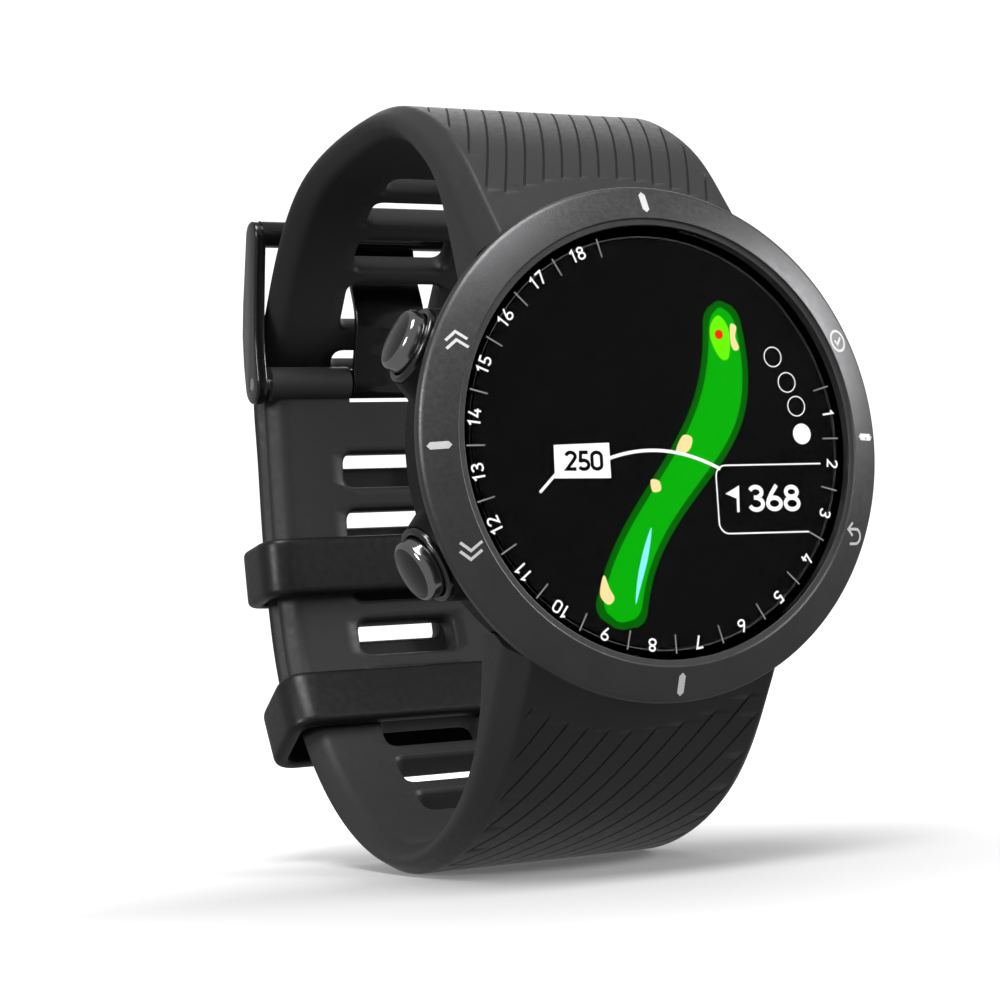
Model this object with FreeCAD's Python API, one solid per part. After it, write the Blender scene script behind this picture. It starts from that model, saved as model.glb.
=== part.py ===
"""Golf GPS watch, buckled into a closed loop. All sizes are in millimetres.

Frame: the origin is the centre of the case back's outer face. +Z points to 12 o'clock,
+X to 3 o'clock and -Y out through the display. Depths below the bezel's front plane are
turned into Y by front(). Side outlines of the straps are lists of (Y, Z) stations.
"""
import FreeCAD, Part
import math
import os

V = FreeCAD.Vector
X_AXIS, Y_AXIS, Z_AXIS = V(1, 0, 0), V(0, 1, 0), V(0, 0, 1)

# ---- driving sizes: case and bezel -------------------------------------------------------
bezel_od = 45.0              # across the bezel
case_height = 12.9           # bezel front plane to case back
bezel_band = 3.08            # radial width of the sloped bezel face
bezel_slope = 1.35           # drop of that face from its inner to its outer edge
bezel_skirt = 2.9            # depth of the bezel's underside
bezel_spigot_depth = 3.9     # depth of the spigot that centres the bezel in the case
bezel_spigot_wall = 0.75
lip_width = 0.57             # thin inner lip between bezel face and glass
lip_drop = 0.22
case_inset = 1.8             # case flank inside the bezel's edge
case_wall = 2.3
flank_depth = 8.6            # where the flank starts to taper to the back
back_taper = 1.7
back_recess = 1.45           # depth of the case back's seat
back_plate_margin = 1.3      # ring of case left round the case back
ledge_top, ledge_depth, ledge_width = 3.95, 1.0, 2.3
flange_depth, flange_width = 0.9, 4.2

# ---- driving sizes: inside ---------------------------------------------------------------
glass_thickness = 0.9
gasket_thickness, gasket_width = 0.18, 0.75
seat_thickness = 0.6
panel_thickness = 1.5
tray_thickness, tray_wall = 0.6, 0.5
board_thickness = 0.8
battery_size = (19.0, 4.2, 18.0)   # X, Y, Z
antenna_size = (9.0, 2.0, 3.4)
motor_radius, motor_height = 3.9, 2.7
back_screw_angle = 60.0
back_screw_radius, back_head_radius, back_screw_length = 0.8, 1.35, 3.3
contact_radius, contact_pitch = 0.8, 2.54
oring_section = 0.45         # diameter of the case back seal

# ---- driving sizes: buttons --------------------------------------------------------------
button_angle = 25.0          # above and below the 9 to 3 o'clock line
button_depth = 6.85          # axis below the bezel plane
button_cap_radius = 2.75
button_proud = 1.6           # cap face outside the bezel's edge
button_cap_length = 2.5
button_dome = 0.35
button_travel = 0.45
stem_radius = 0.8
collar_radius, collar_wall = 3.45, 0.6
boss_radius, boss_root_radius = 3.6, 4.6
seal_section = 0.44
clip_radius, clip_thickness = 1.5, 0.3
switch_size = (2.2, 3.4, 2.2)  # radial depth, width along the wall, height in Y

# ---- driving sizes: straps ---------------------------------------------------------------
strap_width = 28.0
strap_thickness = 3.0
strap_bevel = 1.6            # width of the bevel along both edges
bevel_outer, bevel_inner = 1.0, 1.3
strap_end_thickness = 6.2    # at the case
layer_gap = 0.3              # between the two straps where they overlap
loop_depth = 49.4            # case back to the inner face of the strap, at the back
strap_rise, strap_fall = 13.95, 14.85  # outer top and bottom of the loop beyond the bezel's edge
slot_width, slot_height, slot_corner = 11.2, 3.8, 1.2
upper_slot_pitch, lower_slot_pitch = 6.7, 6.5
slot_start_upper, slot_start_lower = 47.7, 52.0   # arc length of each strap's first slot
upper_slot_count, lower_slot_count = 11, 8
loaded_slot = 3              # index of the upper slot the tongue passes through
slot_stretch = 1.3           # how far the tongue pulls that slot open, away from the case
slot_slack = 0.5             # and towards the case
groove_width, groove_depth = 0.3, 0.3
groove_gap = 2.5             # the grooves start this far from the bezel's edge
groove_reach = 12.2          # they stay this close to the strap's middle
upper_groove_slope, upper_groove_pitch, upper_groove_first = 0.37, 1.86, -28.9
lower_groove_slope, lower_groove_pitch, lower_groove_first = -0.52, 2.45, -11.2
bar_setback, bar_offset = 1.3, 0.6   # spring bar: in front of the case back, outside the bezel's edge
bar_radius, bar_wall, bar_tip_radius = 0.9, 0.2, 0.5
lug_inner, lug_width, lug_radius = 9.2, 2.2, 2.1
tip_engagement = 1.3
hinge_setback, hinge_height = 0.6, 14.8  # buckle hinge: beyond the loop's inner face, above the axis
barrel_radius = 1.9
notch_half = 5.4
pin_radius = 0.75
arm_gap, arm_thickness = 0.4, 1.25
crossbar_setback, crossbar_lift = 3.0, 15.8   # crossbar from the hinge: towards the case and upwards
crossbar_radius = 1.2
tongue_thickness = 0.85
tongue_root_half, tongue_tip_half = 4.75, 4.1
keeper_thickness, keeper_height = 1.6, 6.3

# ---- clearances --------------------------------------------------------------------------
running = 0.05               # radial, round shafts
gap = 0.1                    # between nested fixed pieces
soft_gap = 0.15              # round the rubber pieces

# ---- derived -----------------------------------------------------------------------------
bezel_r = bezel_od / 2
collar_reach = bezel_r
button_reach = bezel_r + button_proud
groove_circle = bezel_r + groove_gap
loop_rise = bezel_r + strap_rise
loop_drop = bezel_r + strap_fall
bar_depth = case_height - bar_setback
bar_height = bezel_r + bar_offset
hinge_depth = case_height + loop_depth + hinge_setback
crossbar_depth = hinge_depth - crossbar_setback
crossbar_height = hinge_height + crossbar_lift
face_r = bezel_r - bezel_band
lens_r = face_r - lip_width - 0.05
flank_r = bezel_r - case_inset
cavity_r = flank_r - case_wall
motor_drop = cavity_r - 5.0
contact_drop = cavity_r - 7.9
back_screw_circle = cavity_r - 1.9
back_plate_r = flank_r - back_taper - back_plate_margin
spigot_r = cavity_r + 1.3                  # bezel spigot in the case
panel_r = lens_r - gasket_width - 0.25
panel_top = lip_drop + glass_thickness + 0.04
board_top = ledge_top + ledge_depth + 0.02
board_r = cavity_r - 1.6
back_seat = case_height - back_recess      # depth of the face the case back sits on
back_seal_r = cavity_r - flange_width + 1.0
seal_x = cavity_r + 1.2                    # button seal's place along the stem
switch_plunger = 0.45
switch_outer = cavity_r - 2.35
stem_end = switch_outer + switch_plunger + button_travel + 0.1
clip_x = cavity_r - clip_thickness - 0.12
half = strap_width / 2
tail_rows = range(14, 9, -1)               # stations of the lower strap that the tail lies on


def front(depth):
    """Y of a point that lies depth behind the bezel's front plane."""
    return depth - case_height


# ---- helpers -----------------------------------------------------------------------------
def revolve(points):
    """Solid of revolution about the watch axis from (radius, depth) corners."""
    corners = [V(r, front(d), 0) for r, d in points]
    face = Part.Face(Part.makePolygon(corners + corners[:1]))
    return face.revolve(V(0, 0, 0), Y_AXIS, 360)


def disc(radius, depth, thickness, x=0.0, z=0.0):
    return Part.makeCylinder(radius, thickness, V(x, front(depth), z), Y_AXIS)


def tube(outer, inner, depth, thickness):
    return disc(outer, depth, thickness).cut(disc(inner, depth - 1, thickness + 2))


def box(x, y, z, corner):
    return Part.makeBox(x, y, z, corner)


def x_rod(radius, x0, x1, y, z):
    return Part.makeCylinder(radius, x1 - x0, V(x0, y, z), X_AXIS)


def torus(mean, section, centre, axis):
    return Part.makeTorus(mean, section / 2, centre, axis)


def plate(face_points, x0, x1):
    """Prism along X from (Y, Z) corners."""
    corners = [V(x0, y, z) for y, z in face_points]
    return Part.Face(Part.makePolygon(corners + corners[:1])).extrude(V(x1 - x0, 0, 0))


def capsule(ends, x0, x1):
    """Hull of two circles given as (Y, Z, radius), as a prism along X."""
    (y0, z0, r0), (y1, z1, r1) = ends
    span = math.hypot(y1 - y0, z1 - z0)
    course = math.atan2(z1 - z0, y1 - y0)
    swing = math.acos((r0 - r1) / span)
    sides = []
    for sign in (1, -1):
        a = course + sign * swing
        tangent = (math.cos(a), math.sin(a))
        sides.append([(y0 + r0 * tangent[0], z0 + r0 * tangent[1]),
                      (y1 + r1 * tangent[0], z1 + r1 * tangent[1])])
    middle = plate([sides[0][0], sides[0][1], sides[1][1], sides[1][0]], x0, x1)
    return middle.fuse([x_rod(r0, x0, x1, y0, z0), x_rod(r1, x0, x1, y1, z1)]).removeSplitter()


# ---- case, bezel and display -------------------------------------------------------------
def bezel_ring():
    edge = bezel_slope + 0.95
    inner = spigot_r - bezel_spigot_wall
    seat_top = lip_drop + glass_thickness + gasket_thickness
    seat_inner = lens_r - gasket_width - 0.1
    return revolve([
        (lens_r + 0.05, lip_drop), (face_r - 0.06, lip_drop), (face_r, 0),
        (bezel_r - 0.25, bezel_slope - 0.1), (bezel_r, bezel_slope + 0.15), (bezel_r, edge),
        (bezel_r - 0.6, bezel_skirt), (spigot_r, bezel_skirt), (spigot_r, bezel_spigot_depth),
        (inner, bezel_spigot_depth), (inner, seat_top + seat_thickness),
        (seat_inner, seat_top + seat_thickness), (seat_inner, seat_top),
        (lens_r + 0.05, seat_top)]).cut(marker_inlays(0.02))


def marker_inlays(margin=0.0):
    """The four pointed inlays at 12, 3, 6 and 9 o'clock, sunk in the sloped face."""
    length, width, sink = 2.15, 0.62, 0.3
    centre_r = face_r + bezel_band / 2
    tilt = math.degrees(math.atan2(bezel_slope, bezel_band))
    surface = bezel_slope / 2
    outline = [(-length / 2, 0), (-length / 2 + width / 2, width / 2),
               (length / 2 - width / 2, width / 2), (length / 2, 0),
               (length / 2 - width / 2, -width / 2), (-length / 2 + width / 2, -width / 2)]
    grow = 1 + 2 * margin / width
    corners = [V(x * grow, 0, z * grow) for x, z in outline]
    inlay = Part.Face(Part.makePolygon(corners + corners[:1])).extrude(V(0, sink, 0))
    inlay.rotate(V(0, 0, 0), Z_AXIS, tilt)
    inlay.translate(V(centre_r, front(surface) - 0.03, 0))
    inlays = []
    for quarter in range(4):
        copy = inlay.copy()
        copy.rotate(V(0, 0, 0), Y_AXIS, 90 * quarter)
        inlays.append(copy)
    return Part.makeCompound(inlays)


def display_lens():
    chamfer = 0.12
    return revolve([(0, lip_drop), (lens_r - chamfer, lip_drop), (lens_r, lip_drop + chamfer),
                    (lens_r, lip_drop + glass_thickness), (0, lip_drop + glass_thickness)])


def lens_gasket():
    return tube(lens_r, lens_r - gasket_width, lip_drop + glass_thickness, gasket_thickness)


def display_panel():
    return disc(panel_r, panel_top, panel_thickness)


def display_tray():
    """Plastic cup that carries the panel and rests on the case's ledge."""
    floor = panel_top + panel_thickness + 0.05
    rim_r = spigot_r - bezel_spigot_wall - gap
    cup = revolve([(0, floor), (rim_r - tray_wall, floor), (rim_r - tray_wall, floor - 0.5),
                   (rim_r, floor - 0.5), (rim_r, floor + tray_thickness), (0, floor + tray_thickness)])
    ribbon_slot = box(7.4, 3, 1.2, V(-3.7, front(floor) - 1, -panel_r + 2.0))
    return cup.cut(ribbon_slot)


def display_ribbon():
    """Flat flexible cable from the panel's back through the tray to the board."""
    top = front(panel_top + panel_thickness)
    bottom = front(board_top)
    z = -panel_r + 2.6
    return box(6.6, bottom - top - 0.01, 0.2, V(-3.3, top + 0.005, z - 0.1))


def button_places():
    """Name, side and angle from +X towards +Z of each button."""
    a = button_angle
    return [("up", 180 - a), ("down", 180 + a), ("select", a), ("back", -a)]


def place_radial(shape, angle):
    """Turn a shape built along +X round the watch axis to angle (towards +Z)."""
    copy = shape.copy()
    copy.rotate(V(0, 0, 0), Y_AXIS, -angle)
    return copy


def case_body():
    """Round mid-case with ledge, flange, button bosses and four strap lugs."""
    back_r = flank_r - back_taper
    seat = back_seat
    socket_r = spigot_r + gap
    shell = revolve([
        (socket_r, bezel_skirt + 0.05), (flank_r - 0.3, bezel_skirt + 0.05), (flank_r, bezel_skirt + 0.45),
        (flank_r, flank_depth), (back_r, case_height - 0.7), (back_plate_r + gap, case_height - 0.7),
        (back_plate_r + gap, seat), (cavity_r - flange_width, seat),
        (cavity_r - flange_width, seat - flange_depth), (cavity_r, seat - flange_depth),
        (cavity_r, ledge_top + ledge_depth), (cavity_r - ledge_width, ledge_top + ledge_depth),
        (cavity_r - ledge_width, ledge_top), (socket_r, ledge_top)])
    additions = [place_radial(button_boss(), angle) for _, angle in button_places()]
    additions += [back_screw_post(x, z) for x, z in back_screw_places()]
    additions += lugs()
    case = shell.fuse(additions)
    cuts = [place_radial(button_bore(), angle) for _, angle in button_places()]
    cuts += [disc(back_screw_radius, case_height - back_screw_length - 0.2, back_screw_length, x, z)
             for x, z in back_screw_places()]
    cuts += [x_rod(bar_tip_radius + running, side * lug_inner - 1.55, side * lug_inner + 1.55,
                   front(bar_depth), end * bar_height) for side in (1, -1) for end in (1, -1)]
    cuts += [disc(0.5, board_top - ledge_depth + 0.1, ledge_depth, x, z) for x, z in board_screw_places()]
    cuts.append(tube(back_seal_r + 0.3, back_seal_r - 0.3, seat - oring_section - 0.05, 2))
    return case.cut(cuts)


def button_boss():
    """Cone that rises from the flank and carries the collar's seat."""
    root = flank_r - 0.8
    cone = Part.makeCone(boss_root_radius, boss_radius, collar_reach - 0.55 - root,
                         V(root, front(button_depth), 0), X_AXIS)
    trim = disc(flank_r + 4, bezel_skirt + 0.05, case_height - bezel_skirt - 0.75)
    return cone.common(trim)


def button_bore():
    """Collar seat, cap pocket, stem bore and seal groove along +X."""
    y = front(button_depth)
    pocket_floor = button_reach - button_cap_length - button_travel - 0.15
    seat = Part.makeCylinder(collar_radius + 0.02, 5, V(collar_reach - 1.6, y, 0), X_AXIS)
    pocket = Part.makeCylinder(button_cap_radius + 0.15, 5, V(pocket_floor, y, 0), X_AXIS)
    bore = Part.makeCylinder(stem_radius + running, 10, V(cavity_r - 3, y, 0), X_AXIS)
    groove = Part.makeCylinder(stem_radius + running + seal_section, seal_section + 0.1,
                               V(seal_x - seal_section / 2 - 0.05, y, 0), X_AXIS)
    return seat.fuse([pocket, bore, groove])


def back_screw_places():
    a = math.radians(back_screw_angle)
    x, z = back_screw_circle * math.cos(a), back_screw_circle * math.sin(a)
    return [(x, z), (-x, z), (x, -z), (-x, -z)]


def back_screw_post(x, z):
    seat = back_seat
    return disc(back_head_radius + 0.85, seat - flange_depth - 1.6, 1.7 + flange_depth - 0.1, x, z).common(
        disc(flank_r - 0.5, 0, case_height))


def board_screw_places():
    r = cavity_r - ledge_width + 0.85
    return [(r * math.sin(math.radians(a)), r * math.cos(math.radians(a))) for a in (42, 138, 222, 318)]


def lugs():
    """Four ears that hold the spring bars' tips."""
    y = front(bar_depth)
    reach = bar_height
    ears = []
    for end in (1, -1):
        for side in (1, -1):
            x0 = lug_inner if side > 0 else -lug_inner - lug_width
            root = math.sqrt(flank_r ** 2 - (lug_inner + lug_width) ** 2) - 1.2
            body = plate([(y - lug_radius, end * reach), (front(bezel_skirt + 3.4), end * root),
                          (y + 0.4, end * root), (y + lug_radius, end * (reach - 0.1)),
                          (y + lug_radius, end * reach)], x0, x0 + lug_width)
            ears.append(body.fuse(x_rod(lug_radius, x0, x0 + lug_width, y, end * reach)))
    keep = disc(60, 0, case_height).cut(disc(cavity_r + 0.5, 0, case_height))
    return [ear.common(keep) for ear in ears]


def case_back():
    plate_top = back_seat + 0.02
    body = revolve([(0, plate_top), (back_plate_r, plate_top), (back_plate_r, case_height - 0.35),
                    (back_plate_r - 0.35, case_height), (0, case_height)])
    cuts = [disc(back_screw_radius + 0.15, 0, case_height + 1, x, z) for x, z in back_screw_places()]
    cuts += [Part.makeCone(back_screw_radius + 0.1, back_head_radius + 0.15, 0.75,
                           V(x, front(case_height - 0.74), z), Y_AXIS) for x, z in back_screw_places()]
    cuts += [disc(contact_radius + 0.02, 0, case_height + 1, x, -contact_drop) for x in contact_places()]
    return body.cut(cuts)


def case_back_seal():
    return torus(back_seal_r, oring_section, V(0, front(back_seat) - oring_section / 2 - 0.01, 0), Y_AXIS)


def case_back_screws():
    screws = []
    for x, z in back_screw_places():
        head_front = front(case_height - 0.62)
        head = Part.makeCone(back_screw_radius, back_head_radius, 0.6, V(x, head_front, z), Y_AXIS)
        shank = disc(back_screw_radius - 0.02, case_height - back_screw_length, back_screw_length - 0.5, x, z)
        cross = [box(1.7, 0.4, 0.3, V(x - 0.85, front(case_height) - 0.35, z - 0.15)),
                 box(0.3, 0.4, 1.7, V(x - 0.15, front(case_height) - 0.35, z - 0.85))]
        screws.append(head.fuse(shank).cut(cross))
    return Part.makeCompound(screws)


def contact_places():
    return [contact_pitch * (i - 1.5) for i in range(4)]


def charging_contacts():
    pads = []
    for x in contact_places():
        pads.append(disc(contact_radius, back_seat - 0.6, back_recess + 0.55, x, -contact_drop))
    return Part.makeCompound(pads)


def main_board():
    board = disc(board_r, board_top, board_thickness)
    cuts = []
    for _, angle in button_places():
        notch = box(4, 10, clip_radius * 2 + 1.2, V(switch_outer + 0.05, -14, -clip_radius - 0.6))
        cuts.append(place_radial(notch, angle))
    cuts += [disc(0.62, 0, case_height, x, z) for x, z in board_screw_places()]
    return board.cut(cuts)


def board_screws():
    screws = []
    for x, z in board_screw_places():
        head = disc(0.95, board_top + board_thickness + 0.01, 0.5, x, z)
        shank = disc(0.48, board_top - 0.85, board_thickness + 0.9, x, z)
        screws.append(head.fuse(shank))
    return Part.makeCompound(screws)


def side_switches():
    depth, width, height = switch_size
    y0 = front(board_top + board_thickness) + 0.01
    body = box(depth, height, width, V(switch_outer - depth, y0, -width / 2))
    plunger_y = front(button_depth) + 0.1
    plunger = Part.makeCylinder(0.55, switch_plunger, V(switch_outer - 0.01, plunger_y, 0), X_AXIS)
    switch = body.fuse(plunger)
    return Part.makeCompound([place_radial(switch, angle) for _, angle in button_places()])


def battery():
    x, y, z = battery_size
    top = front(board_top + board_thickness) + 0.45
    cell = box(x, y, z, V(-x / 2, top, -z / 2 + 0.4))
    upright = [e for e in cell.Edges if abs(e.tangentAt(e.FirstParameter).y) > 0.9]
    return cell.makeFillet(1.2, upright)


def battery_pad():
    x, _, z = battery_size
    top = front(board_top + board_thickness) + 0.02
    return box(x - 3, 0.4, z - 3, V(-(x - 3) / 2, top, -(z - 3) / 2 + 0.4))


def gps_antenna():
    x, y, z = antenna_size
    top = front(board_top + board_thickness) + 0.02
    return box(x, y, z, V(-x / 2, top, cavity_r - 2.2 - z))


def vibration_motor():
    return disc(motor_radius, board_top + board_thickness + 0.4, motor_height, 0, -motor_drop)


# ---- buttons -----------------------------------------------------------------------------
def button(angle):
    """Domed cap on a stem, with the stem's end cut for the clip."""
    y = front(button_depth)
    back = button_reach - button_cap_length
    cap = Part.makeCylinder(button_cap_radius, button_cap_length - button_dome, V(back, y, 0), X_AXIS)
    ball_r = (button_cap_radius ** 2 + button_dome ** 2) / (2 * button_dome)
    ball = Part.makeSphere(ball_r, V(button_reach - ball_r, y, 0))
    dome_base = Part.makeCylinder(button_cap_radius, button_dome, V(button_reach - button_dome, y, 0), X_AXIS)
    stem = Part.makeCylinder(stem_radius, back - stem_end, V(stem_end, y, 0), X_AXIS)
    waist = Part.makeCylinder(2, clip_thickness + 0.04, V(clip_x - 0.02, y, 0), X_AXIS).cut(
        Part.makeCylinder(stem_radius - 0.25, 1, V(clip_x - 0.3, y, 0), X_AXIS))
    solid = cap.fuse([dome_base.common(ball), stem]).removeSplitter().cut(waist)
    return place_radial(solid, angle)


def button_clip(angle):
    """E-clip snapped on the stem inside the case wall."""
    y = front(button_depth)
    ring = Part.makeCylinder(clip_radius, clip_thickness, V(clip_x, y, 0), X_AXIS)
    hole = Part.makeCylinder(stem_radius - 0.23, 1, V(clip_x - 0.3, y, 0), X_AXIS)
    mouth = box(1, 3, 1.0, V(clip_x - 0.3, y, -0.5))
    return place_radial(ring.cut([hole, mouth]), angle)


def button_collars():
    y = front(button_depth)
    length = 1.58
    outer = Part.makeCylinder(collar_radius, length, V(collar_reach - length, y, 0), X_AXIS)
    inner = Part.makeCylinder(collar_radius - collar_wall, 5, V(collar_reach - 3, y, 0), X_AXIS)
    edge_cut = Part.makeCylinder(collar_radius + 1, 0.26, V(collar_reach - 0.25, y, 0), X_AXIS).cut(
        Part.makeCone(collar_radius, collar_radius - 0.25, 0.26, V(collar_reach - 0.25, y, 0), X_AXIS))
    ring = outer.cut([inner, edge_cut])
    return Part.makeCompound([place_radial(ring, angle) for _, angle in button_places()])


def button_seals():
    mean = stem_radius + 0.03 + seal_section / 2
    ring = torus(mean, seal_section, V(seal_x, front(button_depth), 0), X_AXIS)
    return Part.makeCompound([place_radial(ring, angle) for _, angle in button_places()])


# ---- straps ------------------------------------------------------------------------------
def spline(points, x):
    curve = Part.BSplineCurve()
    curve.interpolate([V(x, y, z) for y, z in points])
    return curve.toShape()


def normals(points):
    """Outward unit normals of an outline that runs round the loop, found by central differences."""
    found = []
    for i in range(len(points)):
        a = points[max(i - 1, 0)]
        b = points[min(i + 1, len(points) - 1)]
        dy, dz = b[0] - a[0], b[1] - a[1]
        size = math.hypot(dy, dz)
        found.append((-dz / size, dy / size))
    return found


def inset(points, depths, side):
    """Points moved inward by depths, against the outward normal on the given side."""
    return [(y - side * d * ny, z - side * d * nz)
            for (y, z), (ny, nz), d in zip(points, normals(points), depths)]


def strap_band(outer, thickness, side, edge_drop):
    """Ruled band between an outer outline and its inset, bevelled along both edges."""
    inner = inset(outer, thickness, side)
    outer_edge = inset(outer, [bevel_outer + e for e in edge_drop], side)
    inner_edge = inset(outer, [t - bevel_inner for t in thickness], side)
    flat = half - strap_bevel
    wires = []
    for x, far, near in ((-half, outer_edge, inner_edge), (-flat, outer, inner),
                         (flat, outer, inner), (half, outer_edge, inner_edge)):
        top = spline(far, x)
        low = spline(near, x)
        first = Part.makeLine(V(x, *near[0]), V(x, *far[0]))
        last = Part.makeLine(V(x, *far[-1]), V(x, *near[-1]))
        wires.append(Part.Wire(Part.__sortEdges__([first, top, last, low])))
    return Part.makeLoft(wires, True, True)


def lower_outline():
    """Outer face from the case under the bottom and up the back to the hinge barrel.

    Each station is (Y, Z, added thickness, extra drop of the bevelled edge).
    """
    down = -loop_drop
    back = loop_depth + strap_thickness
    grow = strap_end_thickness - strap_thickness
    return [
        (-9.0, 4.5 - bezel_r, grow + 2.6, 1.3),
        (-6.3, 0.5 - bezel_r, grow + 0.6, 1.2),
        (-1.9, -5.0 - bezel_r, grow * 0.55, 0.7),
        (3.4, down + 5.3, grow * 0.3, 0.3),
        (9.6, down + 2.2, grow * 0.1, 0.1),
        (16.0, down + 0.45, 0, 0),
        (22.5, down, 0, 0),
        (29.5, down + 1.3, 0, 0),
        (back - 15.6, down + 4.5, 0, 0),
        (back - 9.4, down + 9.2, 0, 0),
        (back - 4.6, down + 15.2, 0, 0),
        (back - 1.6, down + 22.8, 0, 0),
        (back - 0.3, -6.0, 0, 0),
        (back, 1.0, 0, 0),
        (back, 8.0, 0, 0),
        (back - 0.05, hinge_height - 0.6, 0, 0)]


def layered(row):
    """Point on the tail's outer face over a station of the lower strap, and the normal there."""
    points = [(y, z) for y, z, _, _ in lower_outline()]
    (y, z), (ny, nz) = points[row], normals(points)[row]
    step = -(layer_gap + strap_thickness)
    return (y + step * ny, z + step * nz), (-ny, -nz)


def upper_outline():
    """Outer face from the case over the top, round the hinge barrel and down the tail."""
    up = loop_rise
    grow = strap_end_thickness - strap_thickness
    hinge_y = front(hinge_depth)
    tail_y = loop_depth + 2 * strap_thickness + layer_gap
    wrap = tail_y - hinge_y - 0.2
    shoulder = math.radians(38)
    over = [
        (-9.0, bezel_r - 3.9, grow + 2.6, 1.3),
        (-6.1, bezel_r - 0.1, grow + 0.6, 1.2),
        (-1.6, bezel_r + 5.6, grow * 0.55, 0.7),
        (3.5, up - 4.4, grow * 0.3, 0.3),
        (9.2, up - 1.6, grow * 0.1, 0.1),
        (15.0, up - 0.3, 0, 0),
        (22.0, up, 0, 0),
        (29.8, up - 0.5, 0, 0),
        (36.2, up - 2.0, 0, 0),
        (hinge_y - 7.9, hinge_height + 16.3, 0, 0),
        (hinge_y - 2.6, hinge_height + 11.2, 0, 0),
        (hinge_y + 1.4, hinge_height + 6.6, 0, 0),
        (hinge_y + wrap * math.cos(shoulder), hinge_height + wrap * math.sin(shoulder), 0, 0),
        (tail_y, hinge_height - 0.6, 0, 0)]
    return over + [(*layered(row)[0], 0, 0) for row in tail_rows]


def split_outline(rows):
    outer = [(y, z) for y, z, _, _ in rows]
    thickness = [strap_thickness + t for _, _, t, _ in rows]
    drop = [e for _, _, _, e in rows]
    return outer, thickness, drop


def slot_cutter(edge, length, side, height=None, thickness=strap_thickness):
    """Rounded slot through the band at an arc length along its outer outline."""
    height = height or slot_height
    parameter = edge.getParameterByLength(length)
    point = edge.valueAt(parameter)
    along = edge.tangentAt(parameter)
    outward = V(0, -along.z * side, along.y * side)
    w, h = slot_width / 2, height / 2
    block = round_uprights(box(2 * w, 2 * h, thickness + 3, V(-w, -h, -thickness - 1.5)), slot_corner)
    turn = FreeCAD.Matrix(1, 0, 0, 0, 0, along.y, outward.y, 0, 0, along.z, outward.z, 0, 0, 0, 0, 1)
    if side < 0:
        turn = FreeCAD.Matrix(-1, 0, 0, 0, 0, along.y, outward.y, 0, 0, along.z, outward.z, 0, 0, 0, 0, 1)
    placed = block.transformGeometry(turn)
    placed.translate(V(0, point.y, point.z))
    return placed


def case_pocket(end):
    """What the strap's end is cut back by: the case's round flank and its two ears."""
    cuts = [disc(flank_r + soft_gap, -1, case_height + 12)]
    y = front(bar_depth)
    for side in (1, -1):
        inner = lug_inner - soft_gap
        x0 = inner if side > 0 else -inner - lug_width - 2 * soft_gap
        width = lug_width + 2 * soft_gap
        r = lug_radius + soft_gap
        body = plate([(y - r, end * bar_height), (front(bezel_skirt + 3.2), end * (flank_r - 5)),
                      (y + 8, end * (flank_r - 5)), (y + 8, end * (bar_height + 1)),
                      (y + r, end * (bar_height + 1)), (y + r, end * bar_height)], x0, x0 + width)
        cuts.append(body.fuse(x_rod(r, x0, x0 + width, y, end * bar_height)))
    cuts.append(x_rod(bar_radius + running, -half - 1, half + 1, y, end * bar_height).common(
        box(2 * lug_inner + 1, 99, 99, V(-lug_inner - 0.5, -50, -50))))
    return cuts


def bezel_clearance():
    return disc(bezel_r + soft_gap, -1, bezel_skirt + 1.25)


def evenly(start, stop, count):
    return [start + (stop - start) * i / (count - 1) for i in range(count)]


def groove_cutter(edge, path, side):
    """Narrow channel sunk in the outer face along (arc length, x) points."""
    wires = []
    for i, (length, x) in enumerate(path):
        parameter = edge.getParameterByLength(length)
        point = edge.valueAt(parameter)
        along = edge.tangentAt(parameter)
        outward = V(0, -along.z * side, along.y * side)
        before, after = path[max(i - 1, 0)], path[min(i + 1, len(path) - 1)]
        run = V(after[1] - before[1], 0, 0) + along * (after[0] - before[0])
        across = run.cross(outward).normalize() * (groove_width / 2)
        base = V(x, point.y, point.z)
        top, floor = base + outward * groove_depth, base - outward * groove_depth
        corners = [top - across, top + across, floor + across * 0.6, floor - across * 0.6]
        wires.append(Part.makePolygon(corners + corners[:1]))
    return Part.makeLoft(wires, True, False)


def grooves(edge, side, slope, pitch, first, stop):
    """Slanted grooves at an even pitch, kept outside the circle, on the flat and short of the slots."""
    cutters = []
    x0 = first
    while abs(x0) < 40:
        inside = [length for length in evenly(0, stop, 160)
                  if abs(x0 + slope * length) < groove_reach
                  and math.hypot(x0 + slope * length, height_at(edge, length)) > groove_circle]
        if len(inside) > 8:
            stations = evenly(inside[0], inside[-1], 7)
            cutters.append(groove_cutter(edge, [(length, x0 + slope * length) for length in stations], side))
        x0 += pitch
    return cutters


def height_at(edge, length):
    return edge.valueAt(edge.getParameterByLength(length)).z


def upper_strap():
    outer, thickness, drop = split_outline(upper_outline())
    band = strap_band(outer, thickness, 1, drop)
    edge = spline(outer, 0)
    cuts = case_pocket(1) + [bezel_clearance()]
    cuts += grooves(edge, 1, upper_groove_slope, upper_groove_pitch, upper_groove_first,
                    slot_start_upper - slot_height)
    for i in range(upper_slot_count):
        length = slot_start_upper + upper_slot_pitch * i
        height = slot_height
        if i == loaded_slot:
            height, length = slot_height + slot_stretch + slot_slack, length + (slot_stretch - slot_slack) / 2
        if i == loaded_slot + 1:
            height, length = slot_height - slot_stretch, length + slot_stretch / 2
        cuts.append(slot_cutter(edge, length, 1, height))
    return band.cut(cuts)


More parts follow.
